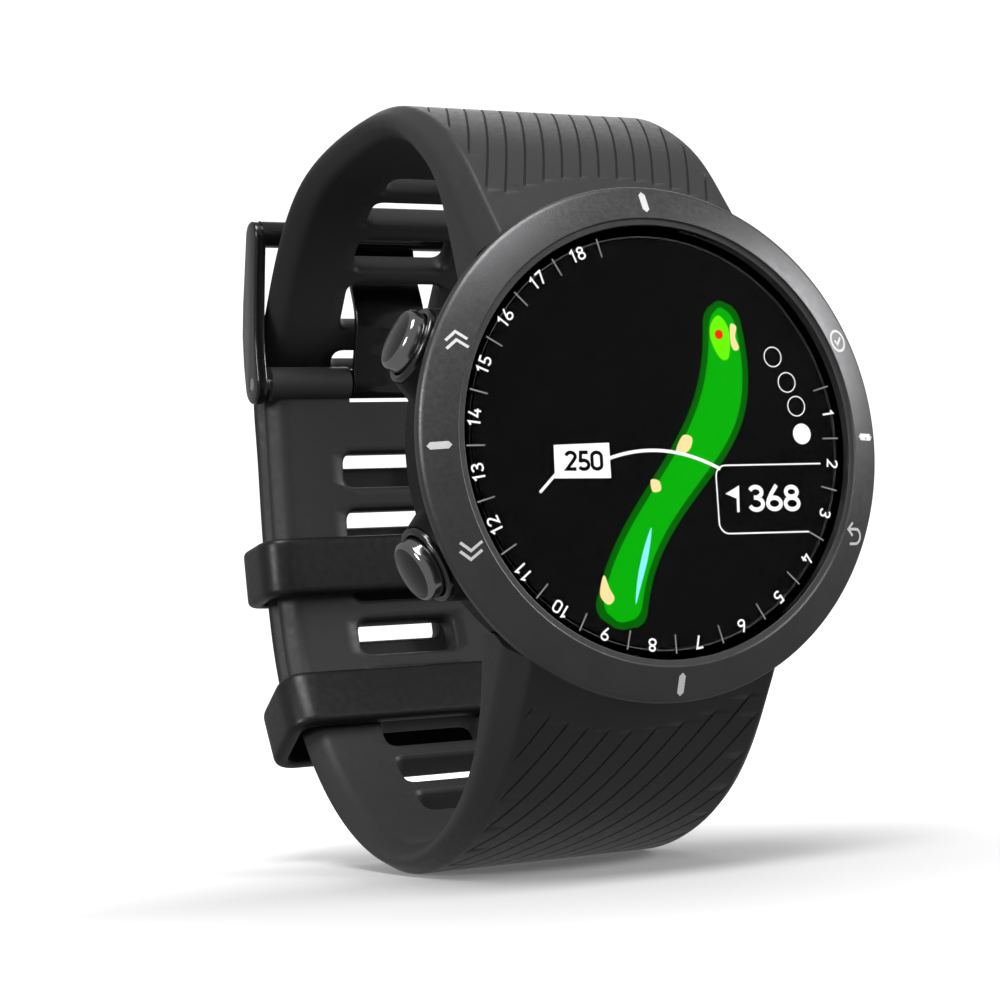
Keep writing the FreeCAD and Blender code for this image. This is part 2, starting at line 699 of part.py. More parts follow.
def lower_strap():
    outer, thickness, drop = split_outline(lower_outline())
    band = strap_band(outer, thickness, -1, drop)
    y, z = front(hinge_depth), hinge_height
    barrel = x_rod(barrel_radius, -half, half, y, z)
    edge = spline(outer, 0)
    cuts = case_pocket(-1) + [bezel_clearance()]
    cuts += grooves(edge, -1, lower_groove_slope, lower_groove_pitch, lower_groove_first,
                    slot_start_lower - slot_height)
    cuts.append(x_rod(pin_radius + running, -half - 1, half + 1, y, z))
    notch_z = barrel_radius + 0.5
    cuts.append(box(2 * notch_half, 12, 2 * notch_z + 6, V(-notch_half, y - 6, z - notch_z)))
    for i in range(lower_slot_count):
        cuts.append(slot_cutter(edge, slot_start_lower + lower_slot_pitch * i, -1))
    return band.fuse(barrel).cut(cuts)


def spring_bar(end):
    y, z = front(bar_depth), end * bar_height
    reach = lug_inner - 0.15
    shell = x_rod(bar_radius, -reach, reach, y, z)
    bore = x_rod(bar_radius - bar_wall, -reach + 0.8, reach - 0.8, y, z)
    mouth = x_rod(bar_tip_radius + running, -reach - 1, reach + 1, y, z)
    return shell.cut([bore, mouth])


def spring_bar_tip(end, side):
    """Shouldered pin that slides in the end of the tube."""
    y, z = front(bar_depth), end * bar_height
    outer = side * (lug_inner + tip_engagement)
    inner = side * (lug_inner - 2.2)
    shoulder = side * (lug_inner - 1.1)
    pin = x_rod(bar_tip_radius, min(outer, inner), max(outer, inner), y, z)
    head = x_rod(bar_radius - bar_wall - running, min(inner, shoulder), max(inner, shoulder), y, z)
    return pin.fuse(head)


def spring_bar_spring(end):
    y, z = front(bar_depth), end * bar_height
    reach = lug_inner - 2.25 - tip_engagement
    turns = [torus(bar_radius - bar_wall - 0.2, 0.22, V(x, y, z), X_AXIS)
             for x in evenly(-reach, reach, 5)]
    return Part.makeCompound(turns)


# ---- buckle and keepers ------------------------------------------------------------------
def arm_span():
    inner = half + arm_gap
    return inner, inner + arm_thickness


def buckle_frame():
    y, z = front(hinge_depth), hinge_height
    cy, cz = front(crossbar_depth), crossbar_height
    inner, outer = arm_span()
    mid_y, mid_z = y + (cy - y) * 0.3 + 0.4, z + (cz - z) * 0.35
    parts = []
    for side in (1, -1):
        x0 = inner if side > 0 else -outer
        low = capsule([(y, z, 2.2), (mid_y, mid_z, 2.25)], x0, x0 + arm_thickness)
        high = capsule([(mid_y, mid_z, 2.25), (cy + 0.2, cz, 1.75)], x0, x0 + arm_thickness)
        parts.append(low.fuse(high).cut(x_rod(pin_radius, -outer - 1, outer + 1, y, z)))
    bar = x_rod(crossbar_radius, -inner - 0.5, inner + 0.5, cy, cz)
    return bar.fuse(parts).removeSplitter()


def buckle_pin():
    _, outer = arm_span()
    return x_rod(pin_radius, -outer + 0.05, outer - 0.05, front(hinge_depth), hinge_height)


def buckle_tongue():
    """Wide plate rolled round the pin, passing out through the loaded slot onto the crossbar."""
    y, z = front(hinge_depth), hinge_height
    t = tongue_thickness
    roll_r = pin_radius + running + t
    rest_y = front(crossbar_depth) + crossbar_radius + 0.03
    inner_side = [(y - roll_r, z), (y - roll_r - 0.5, z + 2.2), (y - roll_r - 1.5, z + 5.0),
                  (y - roll_r - 1.8, z + 7.6), (rest_y - 0.5, crossbar_height - 4.6),
                  (rest_y, crossbar_height - 1.6), (rest_y, crossbar_height + 1.5)]
    outer_side = [(py + t, pz) for py, pz in inner_side]
    outer_side[0] = (y, z)
    blade = plate(inner_side + outer_side[::-1], -tongue_root_half, tongue_root_half)
    length = crossbar_height + 1.5 - z
    side_cut = math.degrees(math.atan2(tongue_root_half - tongue_tip_half, length))
    for side in (1, -1):
        wedge = box(10, 40, 60, V(tongue_root_half, -20, 0))
        wedge.rotate(V(tongue_root_half, 0, 0), Y_AXIS, -side_cut)
        wedge.translate(V(0, y, z))
        if side < 0:
            wedge = wedge.mirror(V(0, 0, 0), X_AXIS)
        blade = blade.cut(wedge)
    roll = x_rod(roll_r, -tongue_root_half, tongue_root_half, y, z)
    return blade.fuse(roll).cut(x_rod(pin_radius + running, -20, 20, y, z)).removeSplitter()


def keeper(row, room):
    """Rubber loop round both straps at a station of the lower strap, with rounded corners."""
    inner_x = half + 0.45
    outer_x = inner_x + keeper_thickness
    inner_y = strap_thickness + layer_gap / 2 + room
    outer_y = inner_y + keeper_thickness
    block = box(2 * outer_x, 2 * outer_y, keeper_height, V(-outer_x, -outer_y, -keeper_height / 2))
    hollow = box(2 * inner_x, 2 * inner_y, keeper_height + 2, V(-inner_x, -inner_y, -keeper_height / 2 - 1))
    ring = round_uprights(block, 2.4).cut(round_uprights(hollow, 1.0))
    (y, z), (ny, nz) = layered(row)
    back_step = strap_thickness + layer_gap / 2
    ring.rotate(V(0, 0, 0), X_AXIS, math.degrees(math.atan2(nz, ny)))
    ring.translate(V(0, y - back_step * ny, z - back_step * nz))
    return ring


def round_uprights(block, radius):
    upright = [e for e in block.Edges if abs(e.tangentAt(e.FirstParameter).z) > 0.9]
    return block.makeFillet(radius, upright)


def keeper_upper():
    return keeper(12, 0.3)


def keeper_lower():
    return keeper(10, 0.55)


# ---- export ------------------------------------------------------------------------------
def nodes():
    made = {
        "bezel_ring": bezel_ring(), "bezel_markers": marker_inlays(), "display_lens": display_lens(),
        "lens_gasket": lens_gasket(), "display_panel": display_panel(), "display_tray": display_tray(),
        "display_ribbon": display_ribbon(), "case_body": case_body(), "case_back": case_back(),
        "case_back_seal": case_back_seal(), "case_back_screws": case_back_screws(),
        "charging_contacts": charging_contacts(), "main_board": main_board(),
        "board_screws": board_screws(), "side_switches": side_switches(), "battery": battery(),
        "battery_pad": battery_pad(), "gps_antenna": gps_antenna(), "vibration_motor": vibration_motor(),
        "button_collars": button_collars(), "button_seals": button_seals(),
        "upper_strap": upper_strap(), "lower_strap": lower_strap(),
        "buckle_frame": buckle_frame(), "buckle_pin": buckle_pin(), "buckle_tongue": buckle_tongue(),
        "keeper_upper": keeper_upper(), "keeper_lower": keeper_lower()}
    for name, angle in button_places():
        made["button_" + name] = button(angle)
        made["button_clip_" + name] = button_clip(angle)
    for word, end in (("upper", 1), ("lower", -1)):
        made["spring_bar_" + word] = spring_bar(end)
        made["bar_spring_" + word] = spring_bar_spring(end)
        made["bar_tip_" + word + "_left"] = spring_bar_tip(end, -1)
        made["bar_tip_" + word + "_right"] = spring_bar_tip(end, 1)
    return made


def main():
    os.makedirs("parts", exist_ok=True)
    for name, shape in nodes().items():
        shape.exportStep("parts/" + name + ".step")
        print(name, "valid" if shape.isValid() else "INVALID", len(shape.Solids), round(shape.Volume, 2))


main()
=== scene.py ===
"""Looks for the golf GPS watch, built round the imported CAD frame. Metres, in the CAD frame.

+Z points to 12 o'clock, +X to 3 o'clock and -Y out through the display.
Lengths in the tables and functions are millimetres and are scaled by MM when a mesh is made.
"""
import math

import bmesh
import bpy
import numpy as np
from mathutils import Matrix, Vector
from mathutils.geometry import tessellate_polygon


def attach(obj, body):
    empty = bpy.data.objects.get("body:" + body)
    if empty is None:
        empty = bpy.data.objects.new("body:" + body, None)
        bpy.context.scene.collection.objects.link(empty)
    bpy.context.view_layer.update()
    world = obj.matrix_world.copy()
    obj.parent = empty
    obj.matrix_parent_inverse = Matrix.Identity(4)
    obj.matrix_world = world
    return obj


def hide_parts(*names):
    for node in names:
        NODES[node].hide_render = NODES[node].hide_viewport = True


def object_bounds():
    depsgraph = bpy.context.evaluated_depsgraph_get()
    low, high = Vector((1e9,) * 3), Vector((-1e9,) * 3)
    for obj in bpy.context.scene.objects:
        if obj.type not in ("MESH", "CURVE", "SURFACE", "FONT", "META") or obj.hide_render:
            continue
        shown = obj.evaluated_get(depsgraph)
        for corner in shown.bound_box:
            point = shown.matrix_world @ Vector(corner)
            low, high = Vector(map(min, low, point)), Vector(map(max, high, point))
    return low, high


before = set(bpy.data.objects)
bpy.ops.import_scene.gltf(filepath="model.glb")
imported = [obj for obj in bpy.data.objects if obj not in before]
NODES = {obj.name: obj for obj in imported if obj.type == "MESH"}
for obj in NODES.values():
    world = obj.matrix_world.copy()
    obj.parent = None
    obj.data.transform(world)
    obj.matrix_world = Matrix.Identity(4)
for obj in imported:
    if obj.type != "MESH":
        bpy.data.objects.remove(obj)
CAD_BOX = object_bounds()

MM = 0.001
BODY = "watch"

# ---- sizes shared with the CAD model, mm -------------------------------------------------
CASE_HEIGHT = 12.9
BEZEL_R, FACE_R, BEZEL_SLOPE = 22.5, 19.42, 1.35
LENS_R, LIP_DROP = 18.8, 0.22
PANEL_Y = 1.16 - CASE_HEIGHT
FLANK_R = 20.7
BUTTON_Y = 6.85 - CASE_HEIGHT
BUTTON_ANGLES = {"up": 155.0, "down": 205.0, "select": 25.0, "back": -25.0}
STRAP_T, LAYER_GAP = 3.0, 0.3
HALF, FLAT = 14.0, 12.4
BEVEL_OUT, BEVEL_IN = 1.0, 1.3
LOOP_BACK, LOOP_TOP, LOOP_BOTTOM = 52.4, 36.45, -37.35
END_GROW = 3.2
HINGE_Y, HINGE_Z, BARREL_R = 50.0, 14.8, 1.9
CROSS_Y, CROSS_Z, CROSS_R = 47.0, 30.6, 1.2
SLOT_W, SLOT_H = 5.6, 3.8
SLOT_STRETCH, SLOT_SLACK = 1.3, 0.5          # the loaded slot, away from the case and towards it
UPPER_SLOTS, LOWER_SLOTS = (47.7, 6.7, 11), (52.0, 6.5, 8)   # first slot's arc length, pitch, count
LOADED_SLOT = 3
NOTCH_HALF, NOTCH_DROP = 4.5, 2.15
BUTTON_REACH, CAP_R, CAP_LENGTH, CAP_DOME = 24.1, 2.75, 2.5, 0.35
COLLAR_R, COLLAR_WALL, STEM_R, STEM_END = 3.45, 0.6, 0.8, 17.0
BAR_Y, BAR_Z = -1.3, 23.1
LUG_INNER, LUG_WIDTH, LUG_R = 9.05, 2.5, 2.25
FIT_GAP = 0.15
PIN_R, PIN_HOLE_R, ARM_T = 0.75, 0.8, 1.25
KEEPER_T, KEEPER_H = 1.6, 6.3


# ---- camera, stage and light -------------------------------------------------------------
CAMERA_LENS, CAMERA_SENSOR = 77.4, 36.0
CAMERA_LOOK, CAMERA_RIGHT = (0.424, 0.902, 0.085), (0.905, -0.419, -0.071)
CAMERA_PLACE = (-0.09135, -0.1729, -0.0198)
FLOOR_FLAT, FLOOR_BEND, FLOOR_WALL = 0.9, 0.7, (1.4, 2.6)    # metres
PAINTED_SHADOW_NEAR, PAINTED_SHADOW_FAR, FLOOR_GLOW = 0.02, 0.12, 0.9            # where the floor grows brighter, and its glow there; the dimmer middle is a painted shadow


def make_camera():
    data = bpy.data.cameras.new("camera")
    data.lens, data.sensor_width = CAMERA_LENS, CAMERA_SENSOR
    data.clip_start, data.clip_end = 0.005, 50.0
    cam = bpy.data.objects.new("camera", data)
    bpy.context.scene.collection.objects.link(cam)
    look = Vector(CAMERA_LOOK).normalized()
    right = Vector(CAMERA_RIGHT)
    right = (right - look * right.dot(look)).normalized()
    up = right.cross(look)
    place = Matrix.Identity(4)
    for row in range(3):
        place[row][0], place[row][1], place[row][2] = right[row], up[row], -look[row]
    place.translation = Vector(CAMERA_PLACE)
    cam.matrix_world = place
    bpy.context.scene.camera = cam


def area_light(name, place, target, size, power):
    data = bpy.data.lights.new(name, "AREA")
    data.shape = "SQUARE"
    data.size, data.energy = size, power
    light = bpy.data.objects.new(name, data)
    light.location = place
    aim = Vector(target) - Vector(place)
    light.rotation_euler = aim.to_track_quat("-Z", "Y").to_euler()
    bpy.context.scene.collection.objects.link(light)


def floor_material():
    """Pale paper that glows more away from the middle, so the far floor is white and the dimmer middle is a
    painted shadow round the watch.
    """
    mat = new_material("floor_paper_painted_shadow")
    tree = mat.node_tree
    shader = tree.nodes["Principled BSDF"]
    # Grey base colour, so that the unlit middle of the floor reads as painted shadow.
    shader.inputs["Base Color"].default_value = (0.48, 0.48, 0.48, 1)
    shader.inputs["Roughness"].default_value = 0.9
    shader.inputs["Specular IOR Level"].default_value = 0.1
    # Emission grows with distance from the middle: painted shadow round the watch, white floor further out.
    coords = tree.nodes.new("ShaderNodeTexCoord")
    reach = tree.nodes.new("ShaderNodeVectorMath")
    reach.operation = "LENGTH"
    tree.links.new(coords.outputs["Object"], reach.inputs[0])
    shadow_fade = tree.nodes.new("ShaderNodeMapRange")
    shadow_fade.interpolation_type = "SMOOTHSTEP"
    shadow_fade.inputs["From Min"].default_value, shadow_fade.inputs["From Max"].default_value = PAINTED_SHADOW_NEAR, PAINTED_SHADOW_FAR
    shadow_fade.inputs["To Min"].default_value, shadow_fade.inputs["To Max"].default_value = 0.0, FLOOR_GLOW
    tree.links.new(reach.outputs["Value"], shadow_fade.inputs["Value"])
    tree.links.new(shadow_fade.outputs["Result"], shader.inputs["Emission Strength"])
    shader.inputs["Emission Color"].default_value = (1, 1, 1, 1)
    return mat


def make_stage():
    """Floor that curves up all round into a wall, so every view is seamless.

    The watch neither reflects it nor is lit by it: the world does both.
    """
    floor_z, count = CAD_BOX[0][2], 96
    profile = [(r, 0.0) for r in (0.1, 0.3, 0.6, FLOOR_FLAT)]
    for k in range(1, 17):
        a = math.radians(90 * k / 16)
        profile.append((FLOOR_FLAT + FLOOR_BEND * math.sin(a), FLOOR_BEND * (1 - math.cos(a))))
    profile += [(FLOOR_FLAT + FLOOR_BEND, z) for z in FLOOR_WALL]
    bm = bmesh.new()
    rings = []
    for r, z in profile:
        rings.append([bm.verts.new((r * math.cos(t), r * math.sin(t), floor_z + z))
                      for t in np.linspace(0, 2 * math.pi, count, endpoint=False)])
    middle = bm.verts.new((0, 0, floor_z))
    for i in range(count):
        n = (i + 1) % count
        bm.faces.new((middle, rings[0][i], rings[0][n]))
        for inner, outer in zip(rings, rings[1:]):
            bm.faces.new((inner[i], outer[i], outer[n], inner[n]))
    floor = object_from_bmesh("studio_floor", bm)
    floor.data.materials.append(floor_material())
    floor.visible_diffuse = False
    floor.visible_glossy = False


SURROUND = 0.34
SOFT_BOXES = (                               # name, place, target, size and watts, in metres
    ("key_top", (-0.14, -0.3, 0.75), (0, 0.01, 0), 0.42, 7),
    ("front_left", (-0.75, -0.35, 0.25), (0, 0.02, 0), 0.3, 4.0),
    ("right_rim", (0.7, -0.35, 0.3), (0, 0, 0), 0.3, 5),
    ("back_fill", (0.45, 0.75, 0.55), (0, 0.02, 0), 0.5, 1.5))


def make_light():
    """Even white surround with soft boxes above, left, right and behind."""
    bpy.context.scene.view_settings.view_transform = "Standard"
    world = bpy.data.worlds.new("studio")
    bpy.context.scene.world = world
    world.use_nodes = True
    back = world.node_tree.nodes["Background"]
    back.inputs["Color"].default_value = (1, 1, 1, 1)
    back.inputs["Strength"].default_value = SURROUND
    for box in SOFT_BOXES:
        area_light(*box)


# ---- mesh helpers ------------------------------------------------------------------------
def object_from_bmesh(name, bm):
    mesh = bpy.data.meshes.new(name)
    bm.to_mesh(mesh)
    bm.free()
    for poly in mesh.polygons:
        poly.use_smooth = True
    obj = bpy.data.objects.new(name, mesh)
    bpy.context.scene.collection.objects.link(obj)
    return obj


def object_from_arrays(name, verts, faces, smooth=True):
    """Object from corners in mm and their faces."""
    mesh = bpy.data.meshes.new(name)
    mesh.from_pydata([tuple(float(c) * MM for c in v) for v in verts], [], faces)
    mesh.validate()
    mesh.update()
    for poly in mesh.polygons:
        poly.use_smooth = smooth
    obj = bpy.data.objects.new(name, mesh)
    bpy.context.scene.collection.objects.link(obj)
    return obj


def face_outward(obj, merge=0.0, dissolve=0.0):
    """Weld what nearly touches, in metres, and turn the faces outward."""
    bm = bmesh.new()
    bm.from_mesh(obj.data)
    if merge:
        bmesh.ops.remove_doubles(bm, verts=bm.verts, dist=merge)
    if dissolve:
        bmesh.ops.dissolve_degenerate(bm, edges=bm.edges, dist=dissolve)
    bmesh.ops.recalc_face_normals(bm, faces=bm.faces)
    bm.to_mesh(obj.data)
    bm.free()
    return obj


def face_viewer(obj):
    """Turn a flat piece's faces towards -Y, where the display is seen from."""
    bm = bmesh.new()
    bm.from_mesh(obj.data)
    if sum(f.normal.y for f in bm.faces) > 0:
        bmesh.ops.reverse_faces(bm, faces=bm.faces)
    bm.to_mesh(obj.data)
    bm.free()
    return obj


def tube_faces(rings, count):
    """Faces of a tube of rings, each of count points, with both ends closed."""
    faces = []
    for j in range(rings - 1):
        for i in range(count):
            n = (i + 1) % count
            faces.append((j * count + i, j * count + n, (j + 1) * count + n, (j + 1) * count + i))
    faces.append(tuple(range(count - 1, -1, -1)))
    faces.append(tuple((rings - 1) * count + i for i in range(count)))
    return faces


def hoop_faces(turns, count):
    """Faces of a ring-shaped skin of turns sections, each of count points."""
    faces = []
    for k in range(turns):
        n = (k + 1) % turns
        for i in range(count):
            j = (i + 1) % count
            faces.append((k * count + i, n * count + i, n * count + j, k * count + j))
    return faces


def sharp_by_angle(obj, degrees):
    bm = bmesh.new()
    bm.from_mesh(obj.data)
    limit = math.radians(degrees)
    for e in bm.edges:
        e.smooth = not (len(e.link_faces) == 2 and e.calc_face_angle(0) > limit)
    bm.to_mesh(obj.data)
    bm.free()


def apply_modifiers(obj):
    graph = bpy.context.evaluated_depsgraph_get()
    mesh = bpy.data.meshes.new_from_object(obj.evaluated_get(graph))
    old = obj.data
    obj.modifiers.clear()
    obj.data = mesh
    bpy.data.meshes.remove(old)
    return obj


def join_objects(objects, name):
    bm = bmesh.new()
    for o in objects:
        part = o.data.copy()
        part.transform(o.matrix_world)
        bm.from_mesh(part)
        bpy.data.meshes.remove(part)
        bpy.data.objects.remove(o)
    return object_from_bmesh(name, bm)


def combine(obj, other, operation):
    """Boolean with an object that is used up."""
    mod = obj.modifiers.new("combine", "BOOLEAN")
    mod.operation, mod.solver, mod.object = operation, "EXACT", other
    apply_modifiers(obj)
    bpy.data.objects.remove(other)


def boolean_cut(obj, cutter):
    combine(obj, cutter, "DIFFERENCE")


def lathe(name, profile, segments):
    """Closed surface of revolution about the watch axis from (radius, y) corners in mm."""
    verts = []
    for k in range(segments):
        a = 2 * math.pi * k / segments
        verts += [(r * math.cos(a), y, r * math.sin(a)) for r, y in profile]
    return face_outward(object_from_arrays(name, verts, hoop_faces(segments, len(profile))), merge=1e-8)


def rounded(points, radii, steps, closed=True):
    """Polygon corners replaced by quadratic curves with the given reach."""
    out = []
    n = len(points)
    for i in range(n):
        p = np.array(points[i], float)
        r = radii[i]
        if r <= 0 or (not closed and i in (0, n - 1)):
            out.append(tuple(p))
            continue
        a = np.array(points[i - 1], float)
        b = np.array(points[(i + 1) % n], float)
        da, db = np.linalg.norm(a - p), np.linalg.norm(b - p)
        ra, rb = min(r, da * 0.49), min(r, db * 0.49)
        start, end = p + (a - p) / da * ra, p + (b - p) / db * rb
        for k in range(steps + 1):
            t = k / steps
            out.append(tuple((1 - t) ** 2 * start + 2 * t * (1 - t) * p + t * t * end))
    return out


# ---- curves ------------------------------------------------------------------------------
class Outline:
    """Natural cubic through (Y, Z, thickness, edge drop) stations, measured by arc length."""

    def __init__(self, rows):
        rows = np.array(rows, float)
        chord = np.r_[0, np.cumsum(np.linalg.norm(np.diff(rows[:, :2], axis=0), axis=1))]
        t = np.linspace(0, chord[-1], 1600)
        self.table = np.stack([natural_cubic(chord, rows[:, k], t) for k in range(rows.shape[1])], 1)
        steps = np.linalg.norm(np.diff(self.table[:, :2], axis=0), axis=1)
        self.s = np.r_[0, np.cumsum(steps)]
        self.length = self.s[-1]

    def at(self, s):
        return np.array([np.interp(s, self.s, self.table[:, k]) for k in range(self.table.shape[1])])

    def frame(self, s, side):
        """Point, direction along and outward normal, in (Y, Z)."""
        h = 0.15
        a, b = self.at(max(s - h, 0))[:2], self.at(min(s + h, self.length))[:2]
        along = (b - a) / np.linalg.norm(b - a)
        out = np.array([-along[1], along[0]]) * side
        return self.at(s), along, out


def natural_cubic(x, y, at):
    n = len(x)
    h = np.diff(x)
    A = np.zeros((n, n))
    rhs = np.zeros(n)
    A[0, 0] = A[-1, -1] = 1
    for i in range(1, n - 1):
        A[i, i - 1], A[i, i], A[i, i + 1] = h[i - 1], 2 * (h[i - 1] + h[i]), h[i]
        rhs[i] = 6 * ((y[i + 1] - y[i]) / h[i] - (y[i] - y[i - 1]) / h[i - 1])
    m = np.linalg.solve(A, rhs)
    k = np.clip(np.searchsorted(x, at) - 1, 0, n - 2)
    a, b = x[k + 1] - at, at - x[k]
    return (m[k] * a ** 3 + m[k + 1] * b ** 3) / (6 * h[k]) + \
        (y[k] / h[k] - m[k] * h[k] / 6) * a + (y[k + 1] / h[k] - m[k + 1] * h[k] / 6) * b


def lower_rows():
    d, b, g = LOOP_BOTTOM, LOOP_BACK, END_GROW
    return [(-9.0, -18.0, g + 2.6, 1.3), (-6.3, -22.0, g + 0.6, 1.2), (-1.9, -27.5, g * 0.55, 0.7),
            (3.4, d + 5.3, g * 0.3, 0.3), (9.6, d + 2.2, g * 0.1, 0.1), (16.0, d + 0.45, 0, 0),
            (22.5, d, 0, 0), (29.5, d + 1.3, 0, 0), (b - 15.6, d + 4.5, 0, 0),
            (b - 9.4, d + 9.2, 0, 0), (b - 4.6, d + 15.2, 0, 0), (b - 1.6, d + 22.8, 0, 0),
            (b - 0.3, -6.0, 0, 0), (b, 1.0, 0, 0), (b, 8.0, 0, 0), (b - 0.05, HINGE_Z - 0.6, 0, 0)]


def layered(row):
    pts = [r[:2] for r in lower_rows()]
    a, b = pts[row - 1], pts[row + 1]
    size = math.hypot(b[0] - a[0], b[1] - a[1])
    n = ((b[1] - a[1]) / size, -(b[0] - a[0]) / size)
    step = LAYER_GAP + STRAP_T
    return (pts[row][0] + step * n[0], pts[row][1] + step * n[1]), n


def upper_rows():
    u, g = LOOP_TOP, END_GROW
    tail_y = LOOP_BACK + LAYER_GAP + STRAP_T
    wrap = tail_y - HINGE_Y - 0.2
    a = math.radians(38)
    rows = [(-9.0, 18.6, g + 2.6, 1.3), (-6.1, 22.4, g + 0.6, 1.2), (-1.6, 28.1, g * 0.55, 0.7),
            (3.5, u - 4.4, g * 0.3, 0.3), (9.2, u - 1.6, g * 0.1, 0.1), (15.0, u - 0.3, 0, 0),
            (22.0, u, 0, 0), (29.8, u - 0.5, 0, 0), (36.2, u - 2.0, 0, 0),
            (HINGE_Y - 7.9, HINGE_Z + 16.3, 0, 0), (HINGE_Y - 2.6, HINGE_Z + 11.2, 0, 0),
            (HINGE_Y + 1.4, HINGE_Z + 6.6, 0, 0),
            (HINGE_Y + wrap * math.cos(a), HINGE_Z + wrap * math.sin(a), 0, 0),
            (tail_y, HINGE_Z - 0.6, 0, 0)]
    return rows + [(*layered(r)[0], 0, 0) for r in range(14, 9, -1)]


# ---- straps ------------------------------------------------------------------------------
GROOVE_HALF, GROOVE_DEPTH = 0.12, 0.2
GROOVE_SPREAD = (-1.0, -0.72, -0.38, 0.0, 0.38, 0.72, 1.0)   # a groove's section, from side to side
UPPER_GROOVES = {"slope": 0.37, "pitch": 1.86, "first": -28.9, "count": 22, "circle": 25.0, "stop": 43.9}
LOWER_GROOVES = {"slope": -0.52, "pitch": 2.45, "first": -11.2, "count": 21, "circle": 24.6, "stop": 48.2}
EDGE = FLAT - 0.45
NEAR_CASE = 12.0                                             # arc length where sections are closest


def smooth_step(value, low, high):
    t = min(max((value - low) / (high - low), 0.0), 1.0)
    return t * t * (3 - 2 * t)


def cross_section(columns, thickness, drop):
    """(x, d) loop: outer face over columns, side, inner face, side; d is depth from the outer face."""
    edge_out, edge_in = BEVEL_OUT + drop, thickness - BEVEL_IN
    right = rounded([(EDGE, 0), (FLAT, 0), (HALF, edge_out), (HALF, edge_in), (FLAT, thickness),
                     (FLAT - 1.5, thickness)], [0, 0.5, 0.6, 0.6, 0.9, 0], steps=6, closed=False)
    outer = [(x, 0.0) for x in columns]
    inner_x = [FLAT - 1.5 - 2 * (FLAT - 1.5) * k / 12 for k in range(1, 12)]
    left = [(-x, d) for x, d in right[::-1]]
    return outer + right + [(x, thickness) for x in inner_x] + left


class Grooves:
    """Slanted moulded grooves at an even pitch; line k sits at x = first + pitch k + slope s."""

    def __init__(self, outline, slope, pitch, first, count, circle, stop):
        self.outline, self.slope, self.circle, self.stop = outline, slope, circle, stop
        self.half = GROOVE_HALF * math.hypot(1, slope)
        self.lines = [first + pitch * k for k in range(count)]

    def columns(self, s):
        s = min(s, self.stop + 1.0)
        return [min(max(x0 + self.slope * s + k * self.half, -EDGE + 0.01), EDGE - 0.01)
                for x0 in self.lines for k in GROOVE_SPREAD]

    def depth(self, s, x, index):
        spread = GROOVE_SPREAD[index % len(GROOVE_SPREAD)]
        section = 1 - abs(spread) ** 2.2
        radius = math.hypot(x, self.outline.at(s)[1])
        ramp = smooth_step(radius, self.circle, self.circle + 0.5) if s < 25 else 1.0
        ramp *= smooth_step(self.stop - s, 0, 0.6) * smooth_step(EDGE - abs(x), 0.02, 0.5)
        return GROOVE_DEPTH * section * ramp


def stations(outline, coarse_from):
    """Arc lengths of the band's sections: close together at the case, then along the grooves."""
    return np.r_[np.arange(0, NEAR_CASE, 0.2), np.arange(NEAR_CASE, coarse_from, 0.5),
                 np.arange(coarse_from, outline.length, 0.8), outline.length]


def strap_mesh(name, outline, side, places, pattern):
    """Closed band with the moulded pattern sunk in its outer face."""
    verts, count = [], 0
    for s in places:
        (y, z, grow, drop), _, out = outline.frame(s, side)
        columns = pattern.columns(s)
        loop = cross_section(columns, STRAP_T + max(grow, 0), max(drop, 0))
        count = len(loop)
        for i, (x, d) in enumerate(loop):
            if i < len(columns):
                d += pattern.depth(s, x, i)
            verts.append((x, y - out[0] * d, z - out[1] * d))
    strap = object_from_arrays(name, verts, tube_faces(len(places), count))
    return face_outward(strap, merge=2e-6, dissolve=1e-6)


def slot_cutter(outline, s, side, height):
    """Rounded slot with softly flared mouths on both faces."""
    (y, z, _, _), along, out = outline.frame(s, side)
    t, corner = STRAP_T, 1.3
    levels = [(-1.4, 0.55), (-0.25, 0.5), (0.0, 0.3), (0.2, 0.12), (0.5, 0.0), (t - 0.5, 0.0),
              (t - 0.2, 0.12), (t, 0.3), (t + 0.25, 0.5), (t + 1.4, 0.55)]
    verts, count = [], 0
    for d, flare in levels:
        w, h = SLOT_W + flare, height / 2 + flare
        loop = rounded([(-w, -h), (w, -h), (w, h), (-w, h)], [corner] * 4, steps=6)
        count = len(loop)
        verts += [(x, y + along[0] * a - out[0] * d, z + along[1] * a - out[1] * d) for x, a in loop]
    return face_outward(object_from_arrays("slot_cutter", verts, tube_faces(len(levels), count)))


def x_cylinder(name, radius, x0, x1, y, z, segments=48):
    turns = [2 * math.pi * k / segments for k in range(segments)]
    return prism_x(name, [(y + radius * math.cos(a), z + radius * math.sin(a)) for a in turns], x0, x1)


def prism_x(name, outline, x0, x1):
    """Prism along X from a (Y, Z) outline."""
    n = len(outline)
    verts = [(x, y, z) for x in (x0, x1) for y, z in outline]
    faces = [(k, (k + 1) % n, n + (k + 1) % n, n + k) for k in range(n)]
    faces += [tuple(range(n - 1, -1, -1)), tuple(range(n, 2 * n))]
    return face_outward(object_from_arrays(name, verts, faces))


def disc_cutter(name, radius, y0, y1):
    """Disc about the watch axis; its pole is opened by a micron so that every face is a quad."""
    pole = 0.001
    return lathe(name, [(pole, y0), (radius, y0), (radius, y1), (pole, y1)], segments=192)


